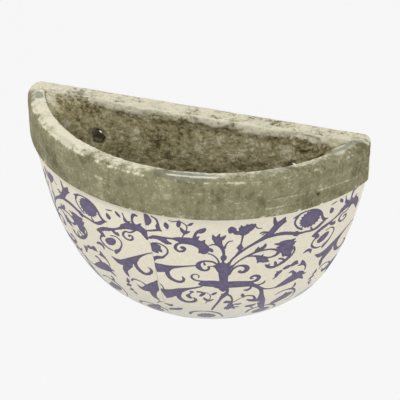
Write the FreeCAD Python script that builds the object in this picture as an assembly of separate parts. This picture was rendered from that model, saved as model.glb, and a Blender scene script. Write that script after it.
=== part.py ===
import FreeCAD, Part
import math
import os

# Half-round wall planter, in millimetres.
# X runs along the wall, -Y points away from the wall and +Z is up.
# The origin is on the wall plane, midway between the two hanging holes.

V = FreeCAD.Vector

# Whole pot
WIDTH = 280.0               # along the wall, to where the rim's face would meet it
DEPTH = 111.5               # from the wall to the front of the rim
HEIGHT = 176.0              # from the rim's top to the lowest point

# Rim band, a collar of clay round the front of the bowl
BAND_HEIGHT = 34.5
BAND_LEAN = 1.0             # how far the band's face leans in at its lower edge
BAND_OVERHANG = 4.0         # step from the band's lower edge back to the bowl
BAND_TOP_ROUNDING = 8.0
BAND_FOOT_ROUNDING = 1.5
RIM_INNER_ROUNDING = 2.5
LAP_HEIGHT = 8.0            # how far the bowl's edge reaches up inside the band

# Bowl, a thrown curve from under the band to the lowest point at the wall
BOWL_WALL = 9.5
BOWL_LEAN = 0.157           # sideways run per unit of drop, just under the band
SHOULDER_PULL = 0.61        # how long the bowl stays steep, as a share of its height
BELLY_PULL = 0.61           # how long the underside stays level, as a share of its reach

# Back wall, a flat slab that closes the bowl
BACK_THICKNESS = 15.0
BACK_CORNER_ROUNDING = 13.0  # upright corners at the two ends of the rim
BACK_EDGE_ROUNDING = 8.0     # edge of the slab round the bowl
BACK_TOP_ROUNDING = 3.0
LIP_REACH = 3.6              # how far the slab's top edge swells into the pot
LIP_HEIGHT = 6.0
LIP_SLOPE = 7.0
LIP_ROUNDING = 2.5
LIP_END_GAP = 1.0            # from the end of the lip to the corner clay

# Hanging holes
HOLE_DIAMETER = 9.0
HOLE_SPACING = 156.0
HOLE_DROP = 34.0            # from the rim's top down to the holes

# Drain hole, cut square to the underside
DRAIN_DIAMETER = 14.0
DRAIN_FROM_WALL = 38.0      # to its middle, on the outside of the bowl

# Clay worked into the joint between the slab and the bowl
CORNER_CLAY_RADIUS = 20.0
CORNER_CLAY_DROP = 2.0      # from the rim's top down to the clay's highest point, in the corner
CORNER_CLAY_FALL = 1.0      # how far the clay's top falls per unit away from the corner
CORNER_CLAY_HEIGHT = 62.0
FLOOR_COIL_RADIUS = 9.0

# Printed transfer sheets laid on the bowl
SHEET_THICKNESS = 0.4
SHEET_BED = 0.15            # glaze between the bowl and the sheets
SHEET_GAP = 0.8             # between the two sheets at the front
SHEET_WALL_MARGIN = 14.0    # from the wall to the sheets
SHEET_DRAIN_MARGIN = 3.0    # from the drain hole to the sheets

# Worked out from the sizes above
HALF_WIDTH = WIDTH / 2
RIM_RADIUS = (HALF_WIDTH ** 2 + DEPTH ** 2) / (2 * DEPTH)
AXIS_Y = RIM_RADIUS - DEPTH                 # the pot's turning axis lies behind the wall
BAND_FOOT_RADIUS = RIM_RADIUS - BAND_LEAN
BOWL_RADIUS = BAND_FOOT_RADIUS - BAND_OVERHANG
INNER_RADIUS = BOWL_RADIUS - BOWL_WALL
TOP_Z = HOLE_DROP
BAND_FOOT_Z = TOP_Z - BAND_HEIGHT
LAP_Z = BAND_FOOT_Z + LAP_HEIGHT
BOTTOM_Z = TOP_Z - HEIGHT
LOWEST_RADIUS = max(AXIS_Y, 0.0)            # the lowest point is where the bowl meets the wall
SLAB_FROM_AXIS = AXIS_Y + BACK_THICKNESS
INNER_CORNER_X = math.sqrt(INNER_RADIUS ** 2 - SLAB_FROM_AXIS ** 2)
CORNER_CLAY_TOP_Z = TOP_Z - CORNER_CLAY_DROP
CORNER_CLAY_FOOT_Z = CORNER_CLAY_TOP_Z - CORNER_CLAY_HEIGHT
BEYOND = WIDTH                              # long enough to reach past the pot from any side


def section_point(radius, z):
    """A point of a section of the pot, on the side of the axis that the wall cuts away."""
    return V(0, AXIS_Y + radius, z)


def line(start, end):
    return Part.LineSegment(section_point(*start), section_point(*end)).toShape()


def corner_arc(start, centre, rounding, end, middle_angle):
    """A quarter round from start to end, with its middle at an angle in degrees."""
    middle = (centre[0] + rounding * math.cos(math.radians(middle_angle)),
              centre[1] + rounding * math.sin(math.radians(middle_angle)))
    points = [section_point(*point) for point in (start, middle, end)]
    return Part.Arc(*points).toShape()


def bowl_curve(top_radius, lean, grow):
    """The bowl's section from the band's foot down to its lowest point, grown outwards."""
    drop = SHOULDER_PULL * (BAND_FOOT_Z - BOTTOM_Z)
    reach = BELLY_PULL * (BOWL_RADIUS - LOWEST_RADIUS)
    floor_z = BOTTOM_Z - grow
    curve = Part.BezierCurve()
    curve.setPoles([
        section_point(top_radius, BAND_FOOT_Z),
        section_point(top_radius - lean * drop, BAND_FOOT_Z - drop),
        section_point(LOWEST_RADIUS + reach, floor_z),
        section_point(LOWEST_RADIUS, floor_z),
    ])
    return curve


def turned(edges):
    """The solid that a closed section sweeps round the pot's axis."""
    face = Part.Face(Part.Wire(Part.__sortEdges__(edges)))
    return face.revolve(V(0, AXIS_Y, 0), V(0, 0, 1), 360)


def turned_bowl(top_radius, top_z, lean, grow):
    """A solid bowl, from its lowest point up to an upright rim."""
    floor_z = BOTTOM_Z - grow
    edges = [
        bowl_curve(top_radius, lean, grow).toShape(),
        line((top_radius, BAND_FOOT_Z), (top_radius, top_z)),
        line((top_radius, top_z), (0, top_z)),
        line((0, top_z), (0, floor_z)),
    ]
    if LOWEST_RADIUS > 0:
        edges.append(line((0, floor_z), (LOWEST_RADIUS, floor_z)))
    return turned(edges)


def box_between(x_low, x_high, y_low, y_high, z_low, z_high):
    return Part.makeBox(x_high - x_low, y_high - y_low, z_high - z_low, V(x_low, y_low, z_low))


def in_front_of(y):
    """Everything further from the wall than a plane at y."""
    return box_between(-BEYOND, BEYOND, -BEYOND, y, -BEYOND, BEYOND)


def band_outside():
    """The edges of the band's section from its top, round its face, to its foot."""
    top, foot = BAND_TOP_ROUNDING, BAND_FOOT_ROUNDING
    face_top = (RIM_RADIUS, TOP_Z - top)
    face_foot = (BAND_FOOT_RADIUS, BAND_FOOT_Z + foot)
    foot_inside = (BAND_FOOT_RADIUS - foot, BAND_FOOT_Z)
    return [
        corner_arc((RIM_RADIUS - top, TOP_Z), (RIM_RADIUS - top, TOP_Z - top), top, face_top, 45),
        line(face_top, face_foot),
        corner_arc(face_foot, (BAND_FOOT_RADIUS - foot, BAND_FOOT_Z + foot), foot, foot_inside, -45),
    ]


def rim_band():
    """The collar round the front, lapped over the bowl's edge."""
    inner = RIM_INNER_ROUNDING
    edges = band_outside() + [
        line((BAND_FOOT_RADIUS - BAND_FOOT_ROUNDING, BAND_FOOT_Z), (BOWL_RADIUS, BAND_FOOT_Z)),
        line((BOWL_RADIUS, BAND_FOOT_Z), (BOWL_RADIUS, LAP_Z)),
        line((BOWL_RADIUS, LAP_Z), (INNER_RADIUS, LAP_Z)),
        line((INNER_RADIUS, LAP_Z), (INNER_RADIUS, TOP_Z - inner)),
        corner_arc((INNER_RADIUS, TOP_Z - inner), (INNER_RADIUS + inner, TOP_Z - inner), inner,
                   (INNER_RADIUS + inner, TOP_Z), 135),
        line((INNER_RADIUS + inner, TOP_Z), (RIM_RADIUS - BAND_TOP_ROUNDING, TOP_Z)),
    ]
    return turned(edges).common(in_front_of(-BACK_THICKNESS))


def bowl_shell():
    """The pressed bowl, open at the top and at the back, with its drain hole."""
    outside = turned_bowl(BOWL_RADIUS, LAP_Z, BOWL_LEAN, 0)
    shell = outside.common(in_front_of(-BACK_THICKNESS)).cut(cavity(0))
    return shell.cut(drain_drill(DRAIN_DIAMETER / 2))


def cavity(rounding):
    """The space for soil in front of the slab, with its edge along the slab rounded."""
    space = turned_bowl(INNER_RADIUS, TOP_Z, 0, -BOWL_WALL).common(in_front_of(-BACK_THICKNESS))
    if rounding == 0:
        return space
    edges = [edge for edge in space.Edges if runs_down_slab(edge)]
    return space.makeFillet(rounding, edges)


def runs_down_slab(edge):
    """True for the edges that the space shares with the slab, apart from the one at the top."""
    box = edge.BoundBox
    on_slab = abs(box.YMin + BACK_THICKNESS) < 1e-4 and abs(box.YMax + BACK_THICKNESS) < 1e-4
    return on_slab and box.ZLength > 1.0


def drain_place():
    """The middle of the drain hole on the bowl's outside, and the way out of it."""
    curve = bowl_curve(BOWL_RADIUS, BOWL_LEAN, 0)
    high, low = 0.0, 1.0
    while low - high > 1e-9:
        middle = (high + low) / 2
        if curve.value(middle).y - 2 * AXIS_Y > DRAIN_FROM_WALL:
            high = middle
        else:
            low = middle
    point, inwards = curve.value(low), curve.tangent(low)[0]
    place = V(0, 2 * AXIS_Y - point.y, point.z)
    return place, V(0, inwards.z, inwards.y)


def drain_drill(radius):
    place, way_out = drain_place()
    return Part.makeCylinder(radius, 6 * BOWL_WALL, place - way_out * 3 * BOWL_WALL, way_out)


def hanging_drill(side):
    start = V(side * HOLE_SPACING / 2, -BEYOND, 0)
    return Part.makeCylinder(HOLE_DIAMETER / 2, 2 * BEYOND, start, V(0, 1, 0))


def slab_outline():
    """The full pot's outside behind the bowl and the band, with rounded back edges."""
    plan = Part.makeCylinder(RIM_RADIUS, BAND_HEIGHT, V(0, AXIS_Y, BAND_FOOT_Z))
    plan = plan.common(in_front_of(0))
    corners = [edge for edge in plan.Edges
               if edge.BoundBox.ZLength > BAND_HEIGHT / 2 and abs(edge.BoundBox.YMax) < 1e-4]
    plan = plan.makeFillet(BACK_CORNER_ROUNDING, corners)
    disc = turned(band_outside() + [
        line((BAND_FOOT_RADIUS - BAND_FOOT_ROUNDING, BAND_FOOT_Z), (0, BAND_FOOT_Z)),
        line((0, BAND_FOOT_Z), (0, TOP_Z)),
        line((0, TOP_Z), (RIM_RADIUS - BAND_TOP_ROUNDING, TOP_Z)),
    ])
    body = turned_bowl(BOWL_RADIUS, TOP_Z, BOWL_LEAN, 0).common(in_front_of(0))
    edges = [edge for edge in body.Edges
             if abs(edge.BoundBox.YMin) < 1e-4 and edge.BoundBox.ZLength > 1.0]
    body = body.makeFillet(BACK_EDGE_ROUNDING, edges)
    body = body.common(box_between(-BEYOND, BEYOND, -BEYOND, BEYOND, -BEYOND, BAND_FOOT_Z))
    return disc.common(plan).fuse(body)


def upright_prism(points, half_length):
    """A straight bar along X with a closed outline in Y and Z; a triple of points is an arc."""
    edges = []
    for stretch in points:
        ends = [V(-half_length, y, z) for y, z in stretch]
        if len(ends) == 3:
            edges.append(Part.Arc(*ends).toShape())
        else:
            edges.append(Part.LineSegment(*ends).toShape())
    face = Part.Face(Part.Wire(edges))
    return face.extrude(V(2 * half_length, 0, 0))


def slab_bar():
    """A bar of the slab's thickness, with the outer top edge rounded."""
    r = BACK_TOP_ROUNDING
    diagonal = r * (1 - math.sqrt(0.5))
    foot_z = BOTTOM_Z - HEIGHT
    return upright_prism([
        ((0, foot_z), (0, TOP_Z - r)),
        ((0, TOP_Z - r), (-diagonal, TOP_Z - diagonal), (-r, TOP_Z)),
        ((-r, TOP_Z), (-BACK_THICKNESS, TOP_Z)),
        ((-BACK_THICKNESS, TOP_Z), (-BACK_THICKNESS, foot_z)),
        ((-BACK_THICKNESS, foot_z), (0, foot_z)),
    ], BEYOND)


def lip_bar():
    """The swollen top edge of the slab, between the two lumps of corner clay."""
    r = LIP_ROUNDING
    diagonal = r * (1 - math.sqrt(0.5))
    front = -BACK_THICKNESS - LIP_REACH
    under = TOP_Z - LIP_HEIGHT
    return upright_prism([
        ((-BACK_THICKNESS, TOP_Z), (front + r, TOP_Z)),
        ((front + r, TOP_Z), (front + diagonal, TOP_Z - diagonal), (front, TOP_Z - r)),
        ((front, TOP_Z - r), (front, under)),
        ((front, under), (-BACK_THICKNESS, under - LIP_SLOPE)),
        ((-BACK_THICKNESS, under - LIP_SLOPE), (-BACK_THICKNESS, TOP_Z)),
    ], lip_half_length())


def lip_half_length():
    """The lip ends just short of the upright edge that the corner clay has on the slab."""
    clay_from_axis = INNER_RADIUS - CORNER_CLAY_RADIUS
    clay_from_wall = SLAB_FROM_AXIS + CORNER_CLAY_RADIUS
    return math.sqrt(clay_from_axis ** 2 - clay_from_wall ** 2) - LIP_END_GAP


def back_wall():
    """The slab that hangs on the wall, with its two hanging holes."""
    slab = slab_outline().common(slab_bar()).fuse(lip_bar()).removeSplitter()
    return slab.cut(hanging_drill(-1)).cut(hanging_drill(1))


def joint_clay(rounding, z_low, z_high, x_low, x_high):
    """What a finger run down the inside joint leaves behind, between two heights."""
    past_clay = -BACK_THICKNESS - 3 * rounding
    share = box_between(x_low, x_high, past_clay, 0, z_low, z_high)
    return cavity(0).common(share).cut(cavity(rounding).common(share))


def corner_clay(side):
    """The lump of clay in one upper inside corner, side -1 or 1, smeared down from the rim."""
    x_low, x_high = sorted((0, side * BEYOND))
    clay = joint_clay(CORNER_CLAY_RADIUS, CORNER_CLAY_FOOT_Z, CORNER_CLAY_TOP_Z, x_low, x_high)
    fall = CORNER_CLAY_FALL * INNER_CORNER_X
    smear = Part.makeCone(0, 2 * INNER_CORNER_X, 2 * fall,
                          V(0, -BACK_THICKNESS, CORNER_CLAY_TOP_Z - fall))
    return clay.cut(smear).cut(hanging_drill(side))


def floor_coil():
    """The thinner coil that follows the joint under the corner clay and across the bottom."""
    coil = joint_clay(FLOOR_COIL_RADIUS, BOTTOM_Z, CORNER_CLAY_FOOT_Z, -BEYOND, BEYOND)
    return coil.cut(drain_drill(DRAIN_DIAMETER / 2))


def print_sheet(side):
    """One printed sheet, from the front seam round to its end near the wall."""
    face = SHEET_BED + SHEET_THICKNESS
    outside = turned_bowl(BOWL_RADIUS + face, LAP_Z, BOWL_LEAN, face)
    skin = outside.cut(turned_bowl(BOWL_RADIUS + SHEET_BED, TOP_Z, BOWL_LEAN, SHEET_BED))
    x_low, x_high = sorted((side * SHEET_GAP / 2, side * BEYOND))
    share = box_between(x_low, x_high, -BEYOND, -SHEET_WALL_MARGIN, -BEYOND, BAND_FOOT_Z)
    skin = skin.common(share)
    return skin.cut(drain_drill(DRAIN_DIAMETER / 2 + SHEET_DRAIN_MARGIN))


def export(name, shape):
    shape.exportStep("parts/" + name + ".step")


os.makedirs("parts", exist_ok=True)
export("back_wall", back_wall())
export("bowl_shell", bowl_shell())
export("rim_band", rim_band())
export("corner_clay_left", corner_clay(-1))
export("corner_clay_right", corner_clay(1))
export("floor_coil", floor_coil())
export("print_sheet_left", print_sheet(-1))
export("print_sheet_right", print_sheet(1))
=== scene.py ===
import itertools
import math

import bpy
import numpy as np
from mathutils import Matrix, Vector


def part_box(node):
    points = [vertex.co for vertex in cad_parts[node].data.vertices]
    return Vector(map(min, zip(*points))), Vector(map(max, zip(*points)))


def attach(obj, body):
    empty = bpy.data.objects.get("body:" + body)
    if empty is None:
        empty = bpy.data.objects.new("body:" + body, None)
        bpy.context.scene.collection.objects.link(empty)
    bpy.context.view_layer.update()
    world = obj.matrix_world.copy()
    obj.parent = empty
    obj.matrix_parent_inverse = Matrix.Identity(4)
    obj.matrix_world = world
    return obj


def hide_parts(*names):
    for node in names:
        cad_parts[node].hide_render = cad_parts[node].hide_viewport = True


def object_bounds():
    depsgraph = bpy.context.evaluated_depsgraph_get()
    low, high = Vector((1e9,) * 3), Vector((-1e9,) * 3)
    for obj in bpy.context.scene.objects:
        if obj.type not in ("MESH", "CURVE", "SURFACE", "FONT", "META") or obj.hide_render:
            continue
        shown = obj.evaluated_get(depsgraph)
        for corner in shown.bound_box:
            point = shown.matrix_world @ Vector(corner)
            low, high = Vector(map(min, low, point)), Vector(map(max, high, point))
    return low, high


# The looks of a half-round wall planter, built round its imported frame.
# Lengths are millimetres until a mesh is written. X runs along the wall to the right,
# -Y points away from the wall and +Z is up.

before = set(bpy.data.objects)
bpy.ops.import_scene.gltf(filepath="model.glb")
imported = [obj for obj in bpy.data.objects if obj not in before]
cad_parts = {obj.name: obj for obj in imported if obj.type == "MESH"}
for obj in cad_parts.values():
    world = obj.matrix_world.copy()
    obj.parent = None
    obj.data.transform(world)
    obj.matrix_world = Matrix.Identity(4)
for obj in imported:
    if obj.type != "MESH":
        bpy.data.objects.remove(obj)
cad_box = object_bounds()

MM = 0.001


def low_corner(node):
    return [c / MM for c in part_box(node)[0]]


def high_corner(node):
    return [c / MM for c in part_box(node)[1]]


def in_box(points):
    """The points, held inside the CAD part's box."""
    return np.clip(points, np.array(cad_box[0]) / MM, np.array(cad_box[1]) / MM)


# The first three sizes come from the frame, the others repeat those of the solids
TOP_Z = high_corner("rim_band")[2]
BAND_FOOT_Z = low_corner("rim_band")[2]
DEPTH = -low_corner("rim_band")[1]
HALF_WIDTH = 140.0          # to where the rim's face would meet the wall
HEIGHT = 176.0
RIM_RADIUS = (HALF_WIDTH ** 2 + DEPTH ** 2) / (2 * DEPTH)
AXIS_Y = RIM_RADIUS - DEPTH  # the turning axis lies behind the wall
BOTTOM_Z = TOP_Z - HEIGHT
BAND_STEP = 5.0              # from the rim's face in to the bowl, just under the band
BOWL_RADIUS = RIM_RADIUS - BAND_STEP
BOWL_WALL = 9.5
INNER_RADIUS = BOWL_RADIUS - BOWL_WALL
BOWL_LEAN = 0.157
SHOULDER_PULL = 0.61
BELLY_PULL = 0.61
LOWEST_RADIUS = max(AXIS_Y, 0.0)
SHOULDER_DROP = SHOULDER_PULL * (BAND_FOOT_Z - BOTTOM_Z)
BELLY_REACH = BELLY_PULL * (BOWL_RADIUS - LOWEST_RADIUS)
SLAB_FACE_Y = -15.0         # the slab's face inside the pot
LAP_HEIGHT = 8.0
LAP_Z = BAND_FOOT_Z + LAP_HEIGHT   # the bowl's upper edge, inside the band
HOLE_HALF_SPACING = 78.0
DRAIN_PLACE = (0.0, -38.0, -134.125)
DRAIN_WAY = (0.0, -0.42444, -0.905456)
SHEET_DRAIN_RADIUS = 10.0
SHEET_FACE = 0.55           # the printed sheets' outer face above the bowl
SHEET_WALL_Y = -8.5         # where the sheets end near the wall


def section_curve(top_radius, lean, floor_z, steps):
    """Rows of (radius, height) down the bowl, from the band's foot to its lowest point."""
    poles = [np.array(p) for p in (
        (top_radius, BAND_FOOT_Z), (top_radius - lean * SHOULDER_DROP, BAND_FOOT_Z - SHOULDER_DROP),
        (LOWEST_RADIUS + BELLY_REACH, floor_z), (LOWEST_RADIUS, floor_z))]
    t = np.linspace(0, 1, steps)[:, None]
    return ((1 - t) ** 3 * poles[0] + 3 * (1 - t) ** 2 * t * poles[1]
            + 3 * (1 - t) * t ** 2 * poles[2] + t ** 3 * poles[3])


OUTSIDE = section_curve(BOWL_RADIUS, BOWL_LEAN, BOTTOM_Z, 3001)
OUTSIDE_RUN = np.r_[0, np.cumsum(np.linalg.norm(np.diff(OUTSIDE, axis=0), axis=1))]
INSIDE = section_curve(INNER_RADIUS, 0.0, BOTTOM_Z + BOWL_WALL, 1001)


# ---------------------------------------------------------------- camera

CAMERA_PLACE = (0.383089, -1.279284, 0.764381)
CAMERA_YAW = 16.64
CAMERA_PITCH = 31.39
CAMERA_ROLL = 1.14
CAMERA_LENS = 180.0
CAMERA_SENSOR = 36.0


def add_camera():
    yaw, pitch, roll = (math.radians(a) for a in (CAMERA_YAW, CAMERA_PITCH, CAMERA_ROLL))
    forward = Vector((-math.sin(yaw) * math.cos(pitch), math.cos(yaw) * math.cos(pitch),
                      -math.sin(pitch)))
    level = Vector((math.cos(yaw), math.sin(yaw), 0.0))
    upright = level.cross(forward)
    right = math.cos(roll) * level + math.sin(roll) * upright
    up = math.cos(roll) * upright - math.sin(roll) * level
    data = bpy.data.cameras.new("camera")
    data.lens, data.sensor_width = CAMERA_LENS, CAMERA_SENSOR
    data.clip_start, data.clip_end = 0.01, 20.0
    camera = bpy.data.objects.new("camera", data)
    turn = Matrix((right, up, -forward)).transposed().to_4x4()
    camera.matrix_world = Matrix.Translation(CAMERA_PLACE) @ turn
    bpy.context.scene.collection.objects.link(camera)
    bpy.context.scene.camera = camera


# ---------------------------------------------------------------- seeded noise

def scatter(cells, seed):
    """Three numbers from -1 to 1 for each whole-number cell, the same on every run."""
    x, y, z = (cells[:, i].astype(np.int64).astype(np.uint32) for i in range(3))
    mixed = x * np.uint32(0x8DA6B343) ^ y * np.uint32(0xD8163841) ^ z * np.uint32(0xCB1AB31F)
    mixed = mixed ^ np.uint32(seed * 2654435761 % 2 ** 32)
    for factor, shift in ((0x7FEB352D, 15), (0x846CA68B, 16)):
        mixed = (mixed ^ (mixed >> np.uint32(16))) * np.uint32(factor)
        mixed = mixed ^ (mixed >> np.uint32(shift))
    fields = [(mixed >> np.uint32(10 * i)) & np.uint32(1023) for i in range(3)]
    return np.stack(fields, 1) / 511.5 - 1.0


def smooth_noise(points, size, seed):
    """Gradient noise from about -1 to 1, with features about `size` mm across."""
    place = points / size
    cell = np.floor(place)
    inside = place - cell
    fade = inside ** 3 * (inside * (6 * inside - 15) + 10)
    total = np.zeros(len(points))
    for corner in itertools.product((0, 1), repeat=3):
        slope = scatter(cell + corner, seed)
        share = np.prod(np.where(corner, fade, 1 - fade), 1)
        total += share * np.sum(slope * (inside - corner), 1)
    return 1.4 * total


def fractal(points, size, seed, octaves=4, gain=0.5):
    total, weight, reach = 0.0, 1.0, 0.0
    for octave in range(octaves):
        total = total + weight * smooth_noise(points, size / 2 ** octave, seed + octave)
        reach += weight
        weight *= gain
    return total / reach


def nearest_grain(points, size, seed):
    """Distance in mm to the nearest of scattered grains about `size` mm apart, and its number."""
    place = points / size
    cell = np.floor(place)
    best = np.full(len(points), 9.0)
    number = np.zeros(len(points))
    for step in itertools.product((-1, 0, 1), repeat=3):
        spot = scatter(cell + step, seed)
        away = np.linalg.norm(cell + step + 0.5 + 0.45 * spot - place, axis=1)
        nearer = away < best
        best[nearer] = away[nearer]
        number[nearer] = spot[nearer, 0]
    return best * size, number


def smoothstep(low, high, value):
    t = np.clip((value - low) / (high - low), 0.0, 1.0)
    return t * t * (3 - 2 * t)


# ---------------------------------------------------------------- strokes on a flat sheet

def smooth_path(points, step=0.5):
    """A smooth line through rows of (across, down, half width)."""
    if len(points) == 1:
        return np.vstack([points, points])
    ends = 2 * points[0] - points[1], 2 * points[-1] - points[-2]
    padded = np.vstack([ends[0], points, ends[1]])
    out = []
    for a, b, c, d in zip(padded, padded[1:], padded[2:], padded[3:]):
        count = max(2, int(np.linalg.norm((c - b)[:2]) / step))
        t = np.arange(count)[:, None] / count
        out.append(0.5 * (2 * b + (c - a) * t + (2 * a - 5 * b + 4 * c - d) * t ** 2
                          + (3 * b - a - 3 * c + d) * t ** 3))
    return np.vstack(out + [points[-1:]])


def notched(path, teeth, spacing):
    """The same line with leaf teeth along its edge, `teeth` mm deep."""
    run = np.r_[0, np.cumsum(np.linalg.norm(np.diff(path[:, :2], axis=0), axis=1))]
    saw = (run / spacing) % 1.0
    bite = np.minimum(teeth, 0.45 * path[:, 2])
    return np.column_stack([path[:, :2], path[:, 2] + bite * (saw - 0.6)])


def distance_to_path(across, down, path):
    """Distance in mm to a tapered line of (across, down, half width), negative inside it."""
    best = np.full(across.shape, 1e3)
    for a, b in zip(path, path[1:]):
        run = b[:2] - a[:2]
        long = max(float(run @ run), 1e-9)
        t = np.clip(((across - a[0]) * run[0] + (down - a[1]) * run[1]) / long, 0, 1)
        away = np.hypot(across - a[0] - t * run[0], down - a[1] - t * run[1])
        best = np.minimum(best, away - a[2] - t * (b[2] - a[2]))
    return best


class Ink:
    """Signed distance from each point of a sheet to its print, in mm, negative in the ink.

    The points lie in nearly level rows, and a stroke only works on the rows that it can reach."""

    FAR = 2.0

    def __init__(self, across, down):
        self.across, self.down = across, down
        self.row_top, self.row_foot = down.min(1), down.max(1)
        self.distance = np.full(across.shape, self.FAR)

    def _near(self, path):
        reach = path[:, 2].max() + self.FAR
        rows = (self.row_foot > path[:, 1].min() - reach) & (
            self.row_top < path[:, 1].max() + reach)
        near = np.zeros(self.across.shape, bool)
        near[rows] = (self.across[rows] > path[:, 0].min() - reach) & (
            self.across[rows] < path[:, 0].max() + reach)
        return near

    def _path_distance(self, points, teeth, spacing):
        path = smooth_path(np.array(points, float))
        if teeth:
            path = notched(path, teeth, spacing)
        near = self._near(path)
        return near, distance_to_path(self.across[near], self.down[near], path)

    def stroke(self, *points, teeth=0.0, spacing=2.2):
        near, away = self._path_distance(points, teeth, spacing)
        self.distance[near] = np.minimum(self.distance[near], away)

    def funnel(self, *points):
        """A stroke with a straight cut across its first end."""
        near, away = self._path_distance(points, 0.0, 1.0)
        start, turn = np.array(points[0][:2]), np.array(points[1][:2])
        way = (turn - start) / np.linalg.norm(turn - start)
        before = (self.across[near] - start[0]) * way[0] + (self.down[near] - start[1]) * way[1]
        self.distance[near] = np.minimum(self.distance[near], np.maximum(away, -before))

    def clear(self, *points):
        near, away = self._path_distance(points, 0.0, 1.0)
        self.distance[near] = np.maximum(self.distance[near], -away)

    def rosette(self, across, down, wide, high, petals, depth):
        outline = np.array([[across, down, max(wide, high)]] * 2)
        near = self._near(outline)
        x, y = (self.across[near] - across) / wide, (self.down[near] - down) / high
        edge = 1 + depth * np.cos(petals * np.arctan2(y, x))
        away = (np.hypot(x, y) - edge) * min(wide, high)
        self.distance[near] = np.minimum(self.distance[near], away)


# ---------------------------------------------------------------- the scroll print
# Strokes are (across, down, half width) in mm on the unrolled sheet: across is 120 mm for each
# radian round the pot, and down is measured along the bowl's section from the band's foot.

SPRIG_ACROSS = 18


def print_vase(ink):
    """The vase on the sheet's axis, with its crown and the two leafy arms at its foot."""
    ink.stroke((49.5, 48.5, 2.8), (49.7, 52, 4.4), (50, 56, 4.0), (50.3, 62, 3.5), (50.6, 68, 3.2),
               (50.8, 73, 4.6), (51, 77, 3.6), (50.8, 80.8, 1.2))
    ink.stroke((43.3, 49.2, 0.9), (45.2, 51.5, 1.5), (47, 55, 1.8))
    ink.stroke((55.6, 50.2, 1.2), (54, 52.5, 1.4), (52.6, 56, 1.8))
    ink.stroke((46.7, 46, 0.7), (47.6, 49, 1.6))
    ink.stroke((49, 44.3, 0.7), (49.5, 48, 1.7))
    ink.stroke((53.6, 45.8, 0.7), (52.4, 49, 1.6))
    ink.stroke((32.5, 72, 0.7), (35, 71, 2.8), (39, 70.6, 3.7), (44, 71, 3.8), (48, 72.8, 4.4),
               teeth=1.1, spacing=2.0)
    ink.stroke((36, 67.8, 1.0), (31, 67.2, 0.9), (28, 65.4, 1.0), (26.9, 62.5, 0.9), (28.2, 60, 0.7),
               (31, 59.7, 0.55), (32.4, 61.5, 0.55), (32, 63.6, 0.45))
    ink.stroke((53, 72.7, 3.8), (58, 72.6, 4.0), (63, 73, 3.9), (68, 73.8, 3.2), (73, 75.5, 2.0),
               teeth=1.0, spacing=2.1)
    ink.stroke((68, 70.8, 1.1), (72, 71.6, 1.2), (75.6, 70.6, 1.7), (77.2, 67.9, 1.7),
               (76, 65.2, 1.4), (73.3, 64.4, 1.3), (71.1, 65.6, 1.1), (70.9, 67.2, 0.8),
               (72.6, 67.8, 0.6))
    ink.stroke((72, 74, 1.5), (76, 76.6, 1.0), (80, 76.8, 1.0), (82, 75.5, 1.1), (82.8, 73.2, 0.5))
    ink.stroke((67.3, 81.6, 0.7), (70, 81.9, 1.5), (72.2, 80, 1.0), (72, 77.3, 1.0))


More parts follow.
